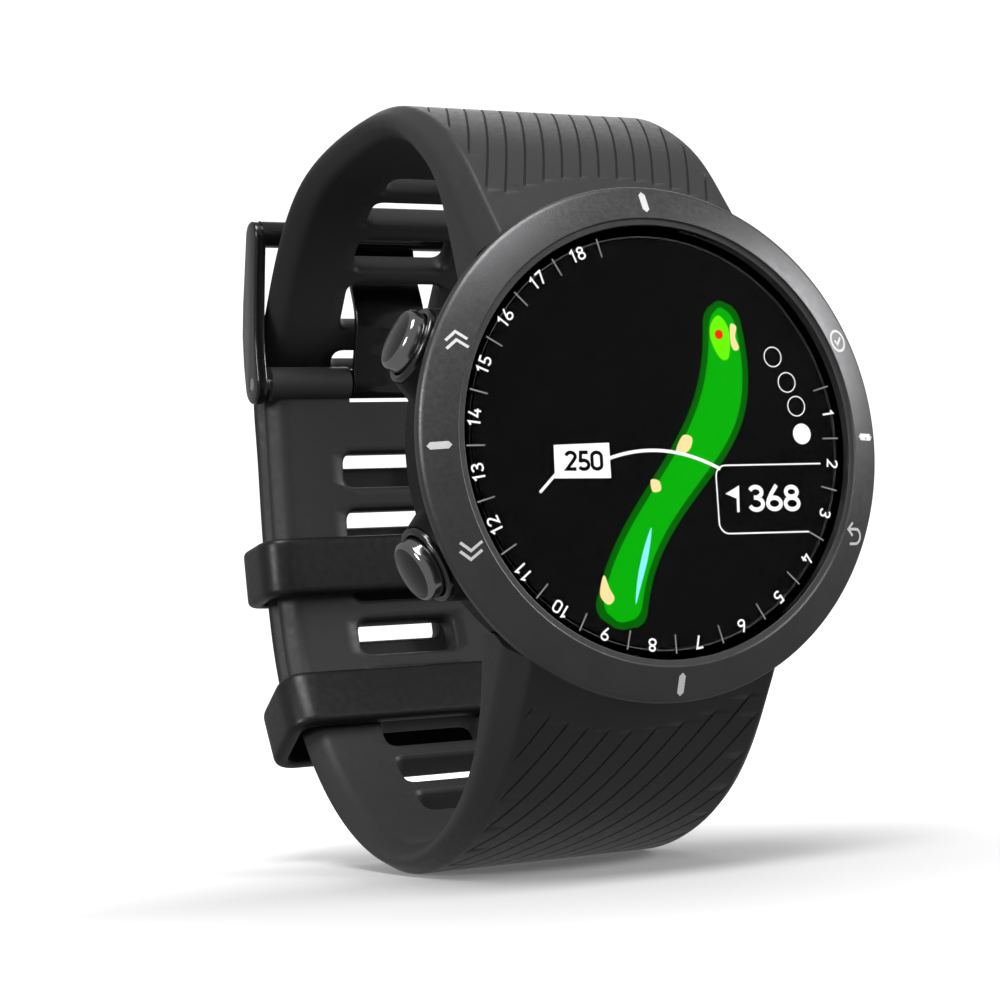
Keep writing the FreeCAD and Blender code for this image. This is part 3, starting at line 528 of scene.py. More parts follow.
def case_cutters(end):
    """Flank, bezel and lugs that the strap's end is shaped round."""
    f = -CASE_HEIGHT
    cutters = [disc_cutter("cut_flank", FLANK_R + FIT_GAP, f - 1, 12),
               disc_cutter("cut_bezel", BEZEL_R + FIT_GAP, f - 2, f + 4.15)]
    inside, top = end * (FLANK_R - 5), end * (BAR_Z + 1)
    shape = [(BAR_Y - LUG_R, end * BAR_Z), (f + 6.1, inside), (BAR_Y + 8, inside), (BAR_Y + 8, top),
             (BAR_Y + LUG_R, top)]
    for x0 in (LUG_INNER, -LUG_INNER - LUG_WIDTH):
        cutters.append(prism_x("cut_lug", shape, x0, x0 + LUG_WIDTH))
        cutters.append(x_cylinder("cut_lug_round", LUG_R, x0 + 0.001, x0 + LUG_WIDTH - 0.001,
                                  BAR_Y, end * BAR_Z))
    return cutters


def subtract_all(obj, cutters):
    for c in cutters:
        boolean_cut(obj, c)


def make_upper_strap():
    outline = Outline(upper_rows())
    grooves = Grooves(outline, **UPPER_GROOVES)
    strap = strap_mesh("upper_strap_band", outline, 1, stations(outline, 45), grooves)
    cutters = case_cutters(1)
    first, pitch, count = UPPER_SLOTS
    for i in range(count):
        s, h = first + pitch * i, SLOT_H
        if i == LOADED_SLOT:
            h, s = SLOT_H + SLOT_STRETCH + SLOT_SLACK, s + (SLOT_STRETCH - SLOT_SLACK) / 2
        if i == LOADED_SLOT + 1:
            h, s = SLOT_H - SLOT_STRETCH, s + SLOT_STRETCH / 2
        cutters.append(slot_cutter(outline, s, 1, h))
    subtract_all(strap, cutters)
    return strap


def make_lower_strap():
    outline = Outline(lower_rows())
    grooves = Grooves(outline, **LOWER_GROOVES)
    strap = strap_mesh("lower_strap_band", outline, -1, stations(outline, 49), grooves)
    barrel_half = HALF - 0.3
    barrel = x_cylinder("barrel", BARREL_R, -barrel_half, barrel_half, HINGE_Y, HINGE_Z - 0.001)
    combine(strap, barrel, "UNION")
    cutters = case_cutters(-1)
    first, pitch, count = LOWER_SLOTS
    cutters += [slot_cutter(outline, first + pitch * i, -1, SLOT_H) for i in range(count)]
    low, high, reach = HINGE_Z - NOTCH_DROP, HINGE_Z + 6, 6
    notch = [(HINGE_Y - reach, low), (HINGE_Y + reach, low), (HINGE_Y + reach, high),
             (HINGE_Y - reach, high)]
    cutters.append(prism_x("cut_notch", notch, -NOTCH_HALF, NOTCH_HALF))
    cutters.append(x_cylinder("cut_pin", PIN_HOLE_R, -HALF - 1, HALF + 1, HINGE_Y, HINGE_Z))
    subtract_all(strap, cutters)
    return strap


# ---- keepers -----------------------------------------------------------------------------
def make_keeper(name, row, room):
    """Moulded loop with full-round edges, swept round a rounded rectangle."""
    inner_x, inner_y = HALF + 0.45, STRAP_T + LAYER_GAP / 2 + room
    mid_x, mid_y = inner_x + KEEPER_T / 2, inner_y + KEEPER_T / 2
    path = rounded([(-mid_x, -mid_y), (mid_x, -mid_y), (mid_x, mid_y), (-mid_x, mid_y)], [2.3] * 4,
                   steps=10)
    dense = []
    for i, p in enumerate(path):
        q = path[(i + 1) % len(path)]
        n = max(1, int(math.dist(p, q) / 1.2))
        dense += [(p[0] + (q[0] - p[0]) * k / n, p[1] + (q[1] - p[1]) * k / n) for k in range(n)]
    t, h = KEEPER_T / 2, KEEPER_H / 2
    section = rounded([(-t, -h), (t, -h), (t, h), (-t, h)], [0.55, 0.8, 0.8, 0.55], steps=6)
    (cy, cz), (ny, nz) = layered(row)
    back = STRAP_T + LAYER_GAP / 2
    cy, cz = cy - back * ny, cz - back * nz
    verts, count = [], len(dense)
    for i in range(count):
        a, b = np.array(dense[i - 1]), np.array(dense[(i + 1) % count])
        d = (b - a) / np.linalg.norm(b - a)
        normal = np.array([d[1], -d[0]])
        for off, up in section:
            x = dense[i][0] + normal[0] * off
            w = dense[i][1] + normal[1] * off
            verts.append((x, cy + ny * w - nz * up, cz + nz * w + ny * up))
    return face_outward(object_from_arrays(name, verts, hoop_faces(count, len(section))))


# ---- buckle ------------------------------------------------------------------------------
def bevelled(obj, width):
    """Edges over 30 degrees rounded by width mm."""
    mod = obj.modifiers.new("bevel", "BEVEL")
    mod.width, mod.segments = width * MM, 3
    mod.limit_method, mod.angle_limit = "ANGLE", math.radians(30)
    return apply_modifiers(obj)


def swept_outline(path, radii, steps=14):
    """Outline of a bar of changing radius along a (Y, Z) path, with round ends."""
    path = [np.array(p, float) for p in path]
    left, right = [], []
    for i, p in enumerate(path):
        a, b = path[max(i - 1, 0)], path[min(i + 1, len(path) - 1)]
        d = (b - a) / np.linalg.norm(b - a)
        n = np.array([-d[1], d[0]])
        left.append(p + n * radii[i])
        right.append(p - n * radii[i])
    first_d = (path[1] - path[0]) / np.linalg.norm(path[1] - path[0])
    last_d = (path[-1] - path[-2]) / np.linalg.norm(path[-1] - path[-2])

    def cap(p, r, start):
        base = math.atan2(start[1], start[0])
        turns = [base - math.pi * k / steps for k in range(1, steps)]
        return [p + r * np.array([math.cos(t), math.sin(t)]) for t in turns]
    outline = left + cap(path[-1], radii[-1], np.array([-last_d[1], last_d[0]])) + right[::-1]
    outline += cap(path[0], radii[0], np.array([first_d[1], -first_d[0]]))
    return [tuple(p) for p in outline]


def make_buckle():
    """Two arms and the crossbar; the arms' outline is the same on both sides."""
    inner = HALF + 0.4
    outer = inner + ARM_T
    path = [(HINGE_Y, HINGE_Z), (HINGE_Y + 0.2, HINGE_Z + 2.5), (HINGE_Y + 0.1, HINGE_Z + 5.4),
            (HINGE_Y - 0.6, HINGE_Z + 8.6), (HINGE_Y - 1.6, HINGE_Z + 12.0), (CROSS_Y + 0.3, CROSS_Z)]
    radii = [2.2, 2.22, 2.2, 2.1, 1.92, 1.75]
    outline = swept_outline(path, radii)
    arms = [prism_x("buckle_arm", outline, x0, x0 + ARM_T) for x0 in (inner, -outer)]
    frame_obj = join_objects(arms, "buckle_frame_body")
    bevelled(frame_obj, 0.28)
    bar_half, extra = inner + 0.4, 0.25
    combine(frame_obj, x_cylinder("buckle_bar", CROSS_R + extra, -bar_half, bar_half,
                                  CROSS_Y - extra, CROSS_Z + extra, 64), "UNION")
    boolean_cut(frame_obj, x_cylinder("cut_pin", PIN_R, -outer - 1, outer + 1, HINGE_Y, HINGE_Z))
    return frame_obj


# ---- materials ---------------------------------------------------------------------------
def new_material(name):
    mat = bpy.data.materials.new(name)
    mat.use_nodes = True
    return mat


def tuned(name, color, rough, metal=0.0, spread=0.04, scale=900.0, bump=0.0, bump_scale=None,
          coat=0.0, spec=0.5, tint=0.12, stretch=None, sheen=0.0):
    """Principled finish whose colour, roughness and surface vary with fine noise."""
    mat = new_material(name)
    tree = mat.node_tree
    shader = tree.nodes["Principled BSDF"]
    coords = tree.nodes.new("ShaderNodeTexCoord")
    mapping = tree.nodes.new("ShaderNodeMapping")
    if stretch:
        mapping.inputs["Scale"].default_value = stretch
    tree.links.new(coords.outputs["Object"], mapping.inputs["Vector"])
    noise = tree.nodes.new("ShaderNodeTexNoise")
    noise.inputs["Scale"].default_value = scale
    noise.inputs["Detail"].default_value = 4.0
    tree.links.new(mapping.outputs["Vector"], noise.inputs["Vector"])
    ramp = tree.nodes.new("ShaderNodeMapRange")
    ramp.inputs["From Min"].default_value, ramp.inputs["From Max"].default_value = 0.3, 0.7
    ramp.inputs["To Min"].default_value = max(rough - spread, 0.02)
    ramp.inputs["To Max"].default_value = min(rough + spread, 1.0)
    tree.links.new(noise.outputs["Fac"], ramp.inputs["Value"])
    tree.links.new(ramp.outputs["Result"], shader.inputs["Roughness"])
    mix = tree.nodes.new("ShaderNodeMix")
    mix.data_type = "RGBA"
    mix.inputs["A"].default_value = (*[c * (1 - tint) for c in color], 1)
    mix.inputs["B"].default_value = (*[min(c * (1 + tint), 1) for c in color], 1)
    broad = tree.nodes.new("ShaderNodeTexNoise")
    broad.inputs["Scale"].default_value = scale * 0.12
    tree.links.new(mapping.outputs["Vector"], broad.inputs["Vector"])
    tree.links.new(broad.outputs["Fac"], mix.inputs["Factor"])
    tree.links.new(mix.outputs["Result"], shader.inputs["Base Color"])
    shader.inputs["Metallic"].default_value = metal
    shader.inputs["Specular IOR Level"].default_value = spec
    shader.inputs["Coat Weight"].default_value = coat
    shader.inputs["Coat Roughness"].default_value = 0.08
    shader.inputs["Sheen Weight"].default_value = sheen
    shader.inputs["Sheen Roughness"].default_value = 0.4
    if bump:
        node = tree.nodes.new("ShaderNodeBump")
        node.inputs["Strength"].default_value = bump
        node.inputs["Distance"].default_value = 0.00004
        if bump_scale:
            fine = tree.nodes.new("ShaderNodeTexNoise")
            fine.inputs["Scale"].default_value = bump_scale
            fine.inputs["Detail"].default_value = 3
            tree.links.new(mapping.outputs["Vector"], fine.inputs["Vector"])
            tree.links.new(fine.outputs["Fac"], node.inputs["Height"])
        else:
            tree.links.new(noise.outputs["Fac"], node.inputs["Height"])
        tree.links.new(node.outputs["Normal"], shader.inputs["Normal"])
    return mat


def glow(name, color):
    """Lit part of the display: it shows its own colour and hardly reflects."""
    mat = tuned(name, [c * 0.04 for c in color], 0.5, tint=0.03, spec=0.02)
    shader = mat.node_tree.nodes["Principled BSDF"]
    shader.inputs["Emission Color"].default_value = (*color, 1)
    shader.inputs["Emission Strength"].default_value = 1.0
    return mat


def glass():
    """Clear cover with a low index, so that the display shows as if coated against reflections."""
    mat = new_material("cover_glass")
    tree = mat.node_tree
    shader = tree.nodes["Principled BSDF"]
    shader.inputs["Base Color"].default_value = (1, 1, 1, 1)
    shader.inputs["Transmission Weight"].default_value = 1.0
    shader.inputs["IOR"].default_value = 1.04
    noise = tree.nodes.new("ShaderNodeTexNoise")
    noise.inputs["Scale"].default_value = 300
    ramp = tree.nodes.new("ShaderNodeMapRange")
    ramp.inputs["To Min"].default_value, ramp.inputs["To Max"].default_value = 0.0, 0.02
    tree.links.new(noise.outputs["Fac"], ramp.inputs["Value"])
    tree.links.new(ramp.outputs["Result"], shader.inputs["Roughness"])
    return mat


def paint(obj, mat):
    obj.data.materials.clear()
    obj.data.materials.append(mat)


def paint_node(name, mat):
    obj = NODES[name]
    if not obj.data.materials:
        obj.data.materials.append(mat)
    for i in range(len(obj.data.materials)):
        obj.data.materials[i] = mat


MATERIALS = {}


def make_materials():
    m = MATERIALS
    m["strap"] = tuned("silicone_strap", (0.024, 0.024, 0.0248), 0.46, spread=0.05, scale=1500, bump=0.12,
                       bump_scale=6000, spec=0.25, tint=0.08, sheen=0.02)
    m["keeper"] = tuned("silicone_keeper", (0.008, 0.008, 0.0085), 0.38, spread=0.05, scale=1500, bump=0.08,
                        bump_scale=6000, spec=0.3, tint=0.08)
    m["bezel"] = tuned("bezel_dark_metal", (0.075, 0.075, 0.077), 0.38, metal=0.8, spread=0.06,
                       scale=2600, bump=0.3, bump_scale=9000, tint=0.15)
    m["bright"] = tuned("polished_inlay", (0.93, 0.93, 0.94), 0.3, metal=0.6, scale=2000, tint=0.04)
    m["case"] = tuned("case_polymer", (0.004, 0.004, 0.0043), 0.42, spread=0.05, scale=2500, bump=0.25,
                      bump_scale=7000, spec=0.12)
    m["steel"] = tuned("brushed_steel", (0.55, 0.55, 0.56), 0.3, metal=1.0, scale=700,
                       stretch=(1, 1, 14), bump=0.1)
    # Button metal in two copies: the brighter one on the rim is a painted highlight, the darker one on the
    # face is painted shade standing in for a dark reflection.
    m["chrome"] = tuned("button_chrome_painted_highlight", (0.3, 0.3, 0.305), 0.12, metal=1.0, spread=0.03, scale=1200,
                        tint=0.04)
    m["cap_face"] = tuned("button_face_painted_shade", (0.06, 0.06, 0.062), 0.2, metal=1.0, spread=0.05, scale=1400,
                          tint=0.06)
    m["print"] = tuned("printed_grey", (0.62, 0.62, 0.62), 0.5, tint=0.05, scale=1200)
    m["collar"] = tuned("collar_dark_metal", (0.09, 0.09, 0.093), 0.2, metal=1.0, spread=0.05, scale=1600)
    m["buckle"] = tuned("buckle_black", (0.006, 0.006, 0.0065), 0.2, metal=0.2, scale=1300, coat=0.25,
                        tint=0.1)
    m["panel"] = tuned("display_black", (0.0015, 0.0015, 0.0016), 0.3, spread=0.05, scale=600, spec=0.02)
    m["black_plastic"] = tuned("inner_black", (0.01, 0.01, 0.011), 0.5, scale=900)
    m["glass"] = glass()
    m["rubber"] = tuned("seal_rubber", (0.012, 0.012, 0.012), 0.6, scale=1500)
    m["gold"] = tuned("gold_contact", (0.83, 0.58, 0.22), 0.25, metal=1.0, scale=1500)
    m["board"] = tuned("board_mask", (0.02, 0.09, 0.05), 0.35, scale=700)
    m["foil"] = tuned("battery_foil", (0.5, 0.51, 0.53), 0.35, metal=0.9, scale=500, bump=0.2)
    m["ceramic"] = tuned("antenna_body", (0.7, 0.67, 0.6), 0.5, scale=900)
    m["amber"] = tuned("ribbon_film", (0.35, 0.16, 0.04), 0.3, scale=700)
    m["white"] = glow("lit_white", (1.0, 1.0, 1.0))
    m["tick"] = glow("lit_grey", (0.3, 0.3, 0.3))
    m["green"] = glow("lit_green", (0.0, 0.42, 0.0))
    m["dark_green"] = glow("lit_dark_green", (0.0, 0.12, 0.0))
    m["light_green"] = glow("lit_light_green", (0.14, 0.9, 0.0))
    m["sand"] = glow("lit_sand", (1.0, 0.75, 0.35))
    m["water"] = glow("lit_water", (0.25, 0.85, 1.0))
    m["red"] = glow("lit_red", (1.0, 0.02, 0.0))
    m["ink"] = tuned("screen_ink", (0.001, 0.001, 0.001), 0.5, tint=0.05, spec=0.02)


# ---- display graphics --------------------------------------------------------------------
LEVEL = 0.012                                # mm between one layer of the picture and the next
RING_R, RING_STEP, RING_COUNT = 17.6, 15.0, 18
TICK_FROM, TICK_TO = 16.65, 18.3


def flat_shape(name, loops, level, mat):
    """Flat face over the display from (x, z) loops; loops after the first are holes."""
    y = PANEL_Y - LEVEL * level
    pts = [[Vector((p[0], p[1], 0)) for p in loop] for loop in loops]
    tris = tessellate_polygon(pts)
    flat = [p for loop in pts for p in loop]
    verts = [(p.x, y, p.y) for p in flat]
    obj = object_from_arrays(name, verts, [tuple(t) for t in tris], smooth=False)
    face_viewer(face_outward(obj))
    paint(obj, mat)
    return obj


def smooth_loop(points, steps=8):
    """Closed Catmull-Rom curve through the points."""
    out = []
    n = len(points)
    for i in range(n):
        p0, p1, p2, p3 = [np.array(points[(i + k - 1) % n], float) for k in range(4)]
        for k in range(steps):
            t = k / steps
            out.append(tuple(0.5 * (2 * p1 + (p2 - p0) * t + (2 * p0 - 5 * p1 + 4 * p2 - p3) * t * t +
                                    (3 * p1 - p0 - 3 * p2 + p3) * t ** 3)))
    return out


def circle(cx, cz, r, n=40):
    turns = [2 * math.pi * k / n for k in range(n)]
    return [(cx + r * math.cos(t), cz + r * math.sin(t)) for t in turns]


def ribbon(points, width):
    """Open polyline widened into a closed loop with mitred bends and square ends."""
    pts = [np.array(p, float) for i, p in enumerate(points) if not i or math.dist(p, points[i - 1]) > 1e-6]
    left, right = [], []
    for i, p in enumerate(pts):
        before = pts[i] - pts[i - 1] if i else pts[1] - pts[0]
        after = pts[i + 1] - pts[i] if i < len(pts) - 1 else before
        before, after = before / np.linalg.norm(before), after / np.linalg.norm(after)
        d = before + after
        d = d / max(np.linalg.norm(d), 1e-6)
        reach = width / 2 / max(d.dot(before), 0.45)
        n = np.array([-d[1], d[0]]) * reach
        left.append(tuple(p + n))
        right.append(tuple(p - n))
    return left + right[::-1]


def arc(cx, cz, r, a0, a1, n=8):
    return [(cx + r * math.cos(math.radians(a0 + (a1 - a0) * k / n)),
             cz + r * math.sin(math.radians(a0 + (a1 - a0) * k / n))) for k in range(n + 1)]


def digit_strokes(figure):
    """Centre lines of one figure, in a box 0.44 wide and 1 high; a closed line is marked True."""
    if figure == "0":
        return [(arc(0.22, 0.71, 0.22, 0, 180, 12) + arc(0.22, 0.29, 0.22, 180, 360, 12), True)]
    if figure == "1":
        return [([(0.07, 0.76), (0.27, 0.93), (0.27, 0.0)], False)]
    if figure == "2":
        return [(arc(0.22, 0.72, 0.21, 170, -20, 12) + [(0.33, 0.5), (0.03, 0.07), (0.46, 0.07)], False)]
    if figure == "3":
        return [(arc(0.21, 0.73, 0.2, 160, -65, 10) + arc(0.21, 0.28, 0.225, 68, -160, 12), False),
                ([(0.14, 0.52), (0.26, 0.52)], False)]
    if figure == "4":
        return [([(0.25, 1.0), (0.02, 0.27), (0.5, 0.27)], False), ([(0.36, 0.52), (0.36, 0.0)], False)]
    if figure == "5":
        return [([(0.42, 0.93), (0.09, 0.93), (0.06, 0.5)] + arc(0.21, 0.29, 0.23, 120, -150, 14), False)]
    if figure in "69":
        path = [(0.32, 1.0), (0.13, 0.66), (0.02, 0.4)]
        bowl = arc(0.22, 0.29, 0.22, 0, 345, 22)
        if figure == "9":
            path = [(0.44 - x, 1 - z) for x, z in path]
            bowl = [(0.44 - x, 1 - z) for x, z in bowl]
        return [(path, False), (bowl, True)]
    if figure == "7":
        return [([(0.0, 0.93), (0.44, 0.93), (0.15, 0.0)], False)]
    return [(arc(0.22, 0.73, 0.19, 0, 345, 20), True), (arc(0.22, 0.28, 0.225, 0, 345, 22), True)]


def figures(name, text, height, x, z, turn, level, mat, weight, stretch=1.2):
    """A number as flat strokes, centred on (x, z) and turned by degrees."""
    step, pieces = 0.6, []
    span = step * (len(text) - 1) + 0.44
    a = math.radians(turn)

    def place(point, offset):
        px = (point[0] + offset - span / 2) * height * stretch
        pz = (point[1] - 0.5) * height
        return (x + px * math.cos(a) - pz * math.sin(a), z + px * math.sin(a) + pz * math.cos(a))

    for k, figure in enumerate(text):
        for path, closed in digit_strokes(figure):
            points = [place(p, k * step) for p in path]
            if closed:
                loops = offset_ring(points, weight * height / 2)
            else:
                loops = [ribbon(points, weight * height)]
            pieces.append(flat_shape(name, loops, level, mat))
            level += 0.02
    number = join_objects(pieces, name)
    paint(number, mat)
    return number


def offset_ring(points, reach):
    """Outer and inner loops at an even distance from a closed line."""
    n = len(points)
    outer, inner = [], []
    for i in range(n):
        p = np.array(points[i])
        d = np.array(points[(i + 1) % n]) - np.array(points[i - 1])
        d = d / np.linalg.norm(d)
        normal = np.array([d[1], -d[0]])
        outer.append(tuple(p + normal * reach))
        inner.append(tuple(p - normal * reach))
    return [outer, inner[::-1]]


def fairway_loop(line, inset):
    """Closed band along a centre line of (x, z, half width), with rounded ends."""
    left, right = [], []
    for s in np.linspace(inset, line.length - inset, 60):
        row, _, out = line.frame(s, 1)
        near_end = min((min(s, line.length - s) - inset) / 1.8, 1.0)
        half = (row[2] - inset) * math.sqrt(max(1 - (1 - near_end) ** 2, 0.02))
        left.append((row[0] + out[0] * half, row[1] + out[1] * half))
        right.append((row[0] - out[0] * half, row[1] - out[1] * half))
    return left + right[::-1]


def make_display():
    m = MATERIALS
    groups = {}

    def keep(piece, name):
        groups.setdefault(name, []).append(piece)

    # course map: a generic fairway with its rough, green, bunkers and water
    line = Outline([(7.0, 12.4, 1.7, 0), (7.2, 8.2, 2.2, 0), (6.2, 3.0, 2.6, 0), (3.0, -1.8, 2.3, 0),
                    (-0.9, -6.4, 2.1, 0), (-3.9, -11.2, 2.3, 0), (-5.4, -15.9, 2.6, 0)])
    keep(flat_shape("rough", [fairway_loop(line, 0.0)], 1, m["dark_green"]), "map_rough")
    keep(flat_shape("fairway", [fairway_loop(line, 0.6)], 2, m["green"]), "map_fairway")
    green = [(6.9, 11.1), (7.8, 9.8), (7.6, 7.4), (6.7, 7.3), (5.9, 8.9), (6.0, 10.3)]
    keep(flat_shape("green", [smooth_loop(green)], 3, m["light_green"]), "map_green")
    keep(flat_shape("hole", [circle(6.75, 9.4, 0.42, 24)], 4, m["red"]), "map_hole")
    bunkers = [[(8.0, 10.3), (8.6, 10.1), (8.4, 9.2), (8.7, 8.2), (8.2, 8.0), (7.9, 8.7)],
               [(2.3, 0.5), (3.2, 0.3), (2.9, -0.7), (1.9, -1.2), (1.5, -0.8)],
               [(-1.2, -3.3), (-0.4, -3.4), (-0.3, -4.2), (-1.1, -4.3)],
               [(-6.4, -11.3), (-6.0, -12.4), (-5.6, -13.3), (-6.2, -13.8), (-6.9, -13.1), (-6.8, -12.1)]]
    for bunker in bunkers:
        keep(flat_shape("bunker", [smooth_loop(bunker)], 3, m["sand"]), "map_bunkers")
    water = [(-1.5, -7.4), (-2.4, -9.2), (-3.2, -11.6), (-3.6, -13.9), (-2.9, -12.2), (-2.0, -9.8)]
    keep(flat_shape("water", [smooth_loop(water)], 3, m["water"]), "map_water")
    # distance arc, tag and pointer
    sweep = [(-5.1 + 10.9 * t, -1.35 + 3.3 * t - 4.45 * t * t) for t in np.linspace(0, 1, 24)]
    keep(flat_shape("arc", [ribbon(sweep, 0.3)], 5, m["white"]), "map_lines")
    keep(flat_shape("tail", [ribbon([(-11.9, -4.1), (-10.1, -2.4)], 0.26)], 5, m["white"]), "map_lines")
    tag = [(-10.3, -0.1), (-5.0, 0.0), (-5.05, -3.05), (-10.4, -2.95)]
    keep(flat_shape("tag", [tag], 5, m["white"]), "map_lines")
    keep(figures("tag_number", "250", 1.65, -7.55, -1.5, -1, 6, m["ink"], weight=0.19, stretch=1.25),
         "tag_number")
    # distance box with a flag and a number
    corners = arc(6.3, -3.2, 1.0, 90, 180) + arc(6.25, -7.2, 1.0, 180, 270)
    box = [(16.2, -2.25), (6.3, -2.2)] + corners + [(14.4, -8.3)]
    keep(flat_shape("box", [ribbon(box, 0.14)], 5, m["white"]), "map_lines")
    flag = [(7.55, -4.0), (7.4, -6.35), (7.15, -6.35), (7.2, -5.15), (6.1, -4.7)]
    keep(flat_shape("flag", [flag], 5, m["white"]), "map_lines")
    keep(figures("distance", "368", 2.3, 11.05, -5.2, -1, 5, m["white"], weight=0.17, stretch=1.33),
         "distance_number")
    for k, (x, z) in enumerate(((12.1, 7.4), (13.35, 5.1), (14.15, 2.95), (14.5, 0.45))):
        loops = [circle(x, z, 0.93)] if k == 3 else [circle(x, z, 0.93), circle(x, z, 0.83)[::-1]]
        keep(flat_shape("dot", loops, 5, m["white"]), "map_lines")
    # ring of plain numbers, with a tick on both sides of each
    for k in range(RING_COUNT):
        a = RING_STEP * (0.5 - k)
        x, z = RING_R * math.cos(math.radians(a)), RING_R * math.sin(math.radians(a))
        keep(figures("digit", str(k + 1), 1.15, x, z, a - 90, 5, m["white"], weight=0.15), "dial_numbers")
    for k in range(RING_COUNT + 1):
        a = math.radians(RING_STEP * (1 - k))
        ray = [(r * math.cos(a), r * math.sin(a)) for r in (TICK_FROM, TICK_TO)]
        keep(flat_shape("tick", [ribbon(ray, 0.12)], 5, m["tick"]), "dial_ticks")
    for name, pieces in groups.items():
        mat = pieces[0].data.materials[0]
        obj = join_objects(pieces, name)
        paint(obj, mat)
        for poly in obj.data.polygons:
            poly.use_smooth = False
        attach(obj, BODY)


# ---- bezel -------------------------------------------------------------------------------
def make_bezel():
    """Ring with the lens's lip, a sloping face, a flank and the step that sits on the case."""
    f = -CASE_HEIGHT
    edge = BEZEL_SLOPE + 0.95
    corners = [(LENS_R + 0.05, LIP_DROP), (FACE_R - 0.06, LIP_DROP), (FACE_R, 0.0),
               (BEZEL_R - 0.25, BEZEL_SLOPE - 0.1), (BEZEL_R, BEZEL_SLOPE + 0.15), (BEZEL_R, edge),
               (BEZEL_R - 0.6, 2.9), (19.7, 2.9), (19.7, 3.9), (18.95, 3.9), (18.95, 1.9),
               (17.95, 1.9), (17.95, 1.3), (LENS_R + 0.05, 1.3)]
    radii = [0.05, 0.05, 0.12, 0.2, 0.2, 0.2, 0.1, 0, 0, 0, 0, 0, 0, 0]
    profile = [(r, f + d) for r, d in rounded(corners, radii, steps=4)]
    bezel = lathe("bezel_body", profile, segments=320)
    sharp_by_angle(bezel, 50)
    return bezel


# ---- buttons -----------------------------------------------------------------------------
def radial_lathe(name, profile, degrees):
    """Surface of revolution about a button's axis from (reach, radius) corners in mm."""
    a, segments = math.radians(degrees), 96
    verts = []
    for k in range(segments):
        t = 2 * math.pi * k / segments
        for reach, r in profile:
            side = r * math.sin(t)
            verts.append((reach * math.cos(a) - side * math.sin(a), BUTTON_Y + r * math.cos(t),
                          reach * math.sin(a) + side * math.cos(a)))
    obj = object_from_arrays(name, verts, hoop_faces(segments, len(profile)))
    return face_outward(obj, merge=1e-7, dissolve=1e-7)


def make_button(name, degrees):
    """Domed cap with a rolled rim and a shallow groove behind it, on its stem."""
    back, rim = BUTTON_REACH - CAP_LENGTH, 0.5
    dome = [(BUTTON_REACH - CAP_DOME * (r / CAP_R) ** 2, r) for r in np.linspace(0, CAP_R - rim, 9)]
    edge = dome[-1][0] - rim
    roll = [(edge + rim * math.cos(t), CAP_R - rim + rim * math.sin(t))
            for t in np.linspace(0, math.pi / 2, 9)[1:]]
    floor_r = CAP_R - 0.18
    groove = [(back + 0.75, CAP_R), (back + 0.65, floor_r), (back + 0.4, floor_r), (back + 0.3, CAP_R)]
    profile = dome + roll + groove + [(back, CAP_R), (back, STEM_R), (STEM_END, STEM_R), (STEM_END, 0)]
    cap = radial_lathe("button_" + name + "_cap", profile, degrees)
    sharp_by_angle(cap, 40)
    return cap


def make_collar(degrees):
    """Polished ring round a button, with a rolled lip at its outer end and a straight inner wall."""
    inner, length, lip = COLLAR_R - COLLAR_WALL, 1.58, 0.28
    root = BEZEL_R - length
    corners = [(root, inner), (BEZEL_R, inner), (BEZEL_R, COLLAR_R), (root, COLLAR_R)]
    profile = rounded(corners, [0, lip, lip, 0], steps=6)
    return radial_lathe("collar", profile, degrees)


# ---- tongue ------------------------------------------------------------------------------
def make_tongue():
    """Curved plate with eased edges, rolled round the pin and resting on the crossbar."""
    t, half_root, half_tip, ease, roll_r = 0.85, 4.2, 4.0, 0.2, 1.65
    rest = CROSS_Y + CROSS_R + 0.03
    line = Outline([(HINGE_Y - roll_r, HINGE_Z - 0.2, 0, 0), (HINGE_Y - roll_r - 0.5, HINGE_Z + 2.2, 0, 0),
                    (HINGE_Y - roll_r - 1.5, HINGE_Z + 5.0, 0, 0),
                    (HINGE_Y - roll_r - 1.75, HINGE_Z + 7.6, 0, 0), (rest - 0.5, CROSS_Z - 4.6, 0, 0),
                    (rest, CROSS_Z - 1.6, 0, 0), (rest, CROSS_Z + 1.4, 0, 0)])
    verts, places = [], np.linspace(0, line.length, 48)
    for s in places:
        row = line.at(s)
        half = half_root + (half_tip - half_root) * s / line.length
        loop = rounded([(-half, 0), (half, 0), (half, t), (-half, t)], [ease] * 4, steps=4)
        verts += [(x, row[0] + d, row[1]) for x, d in loop]
    faces = tube_faces(len(places), len(verts) // len(places))
    blade = face_outward(object_from_arrays("buckle_tongue_plate", verts, faces))
    roll = x_cylinder("roll", roll_r, -half_root, half_root, HINGE_Y, HINGE_Z, 64)
    combine(blade, bevelled(roll, 0.15), "UNION")
    boolean_cut(blade, x_cylinder("cut_pin", PIN_HOLE_R, -8, 8, HINGE_Y, HINGE_Z))
    return blade


# ---- bezel symbols -----------------------------------------------------------------------
def bezel_height(x, z):
    """Y of the bezel's sloping face at a place on it."""
    slope = (BEZEL_SLOPE - 0.1) / (BEZEL_R - 0.25 - FACE_R)
    return -CASE_HEIGHT + (math.hypot(x, z) - FACE_R) * slope


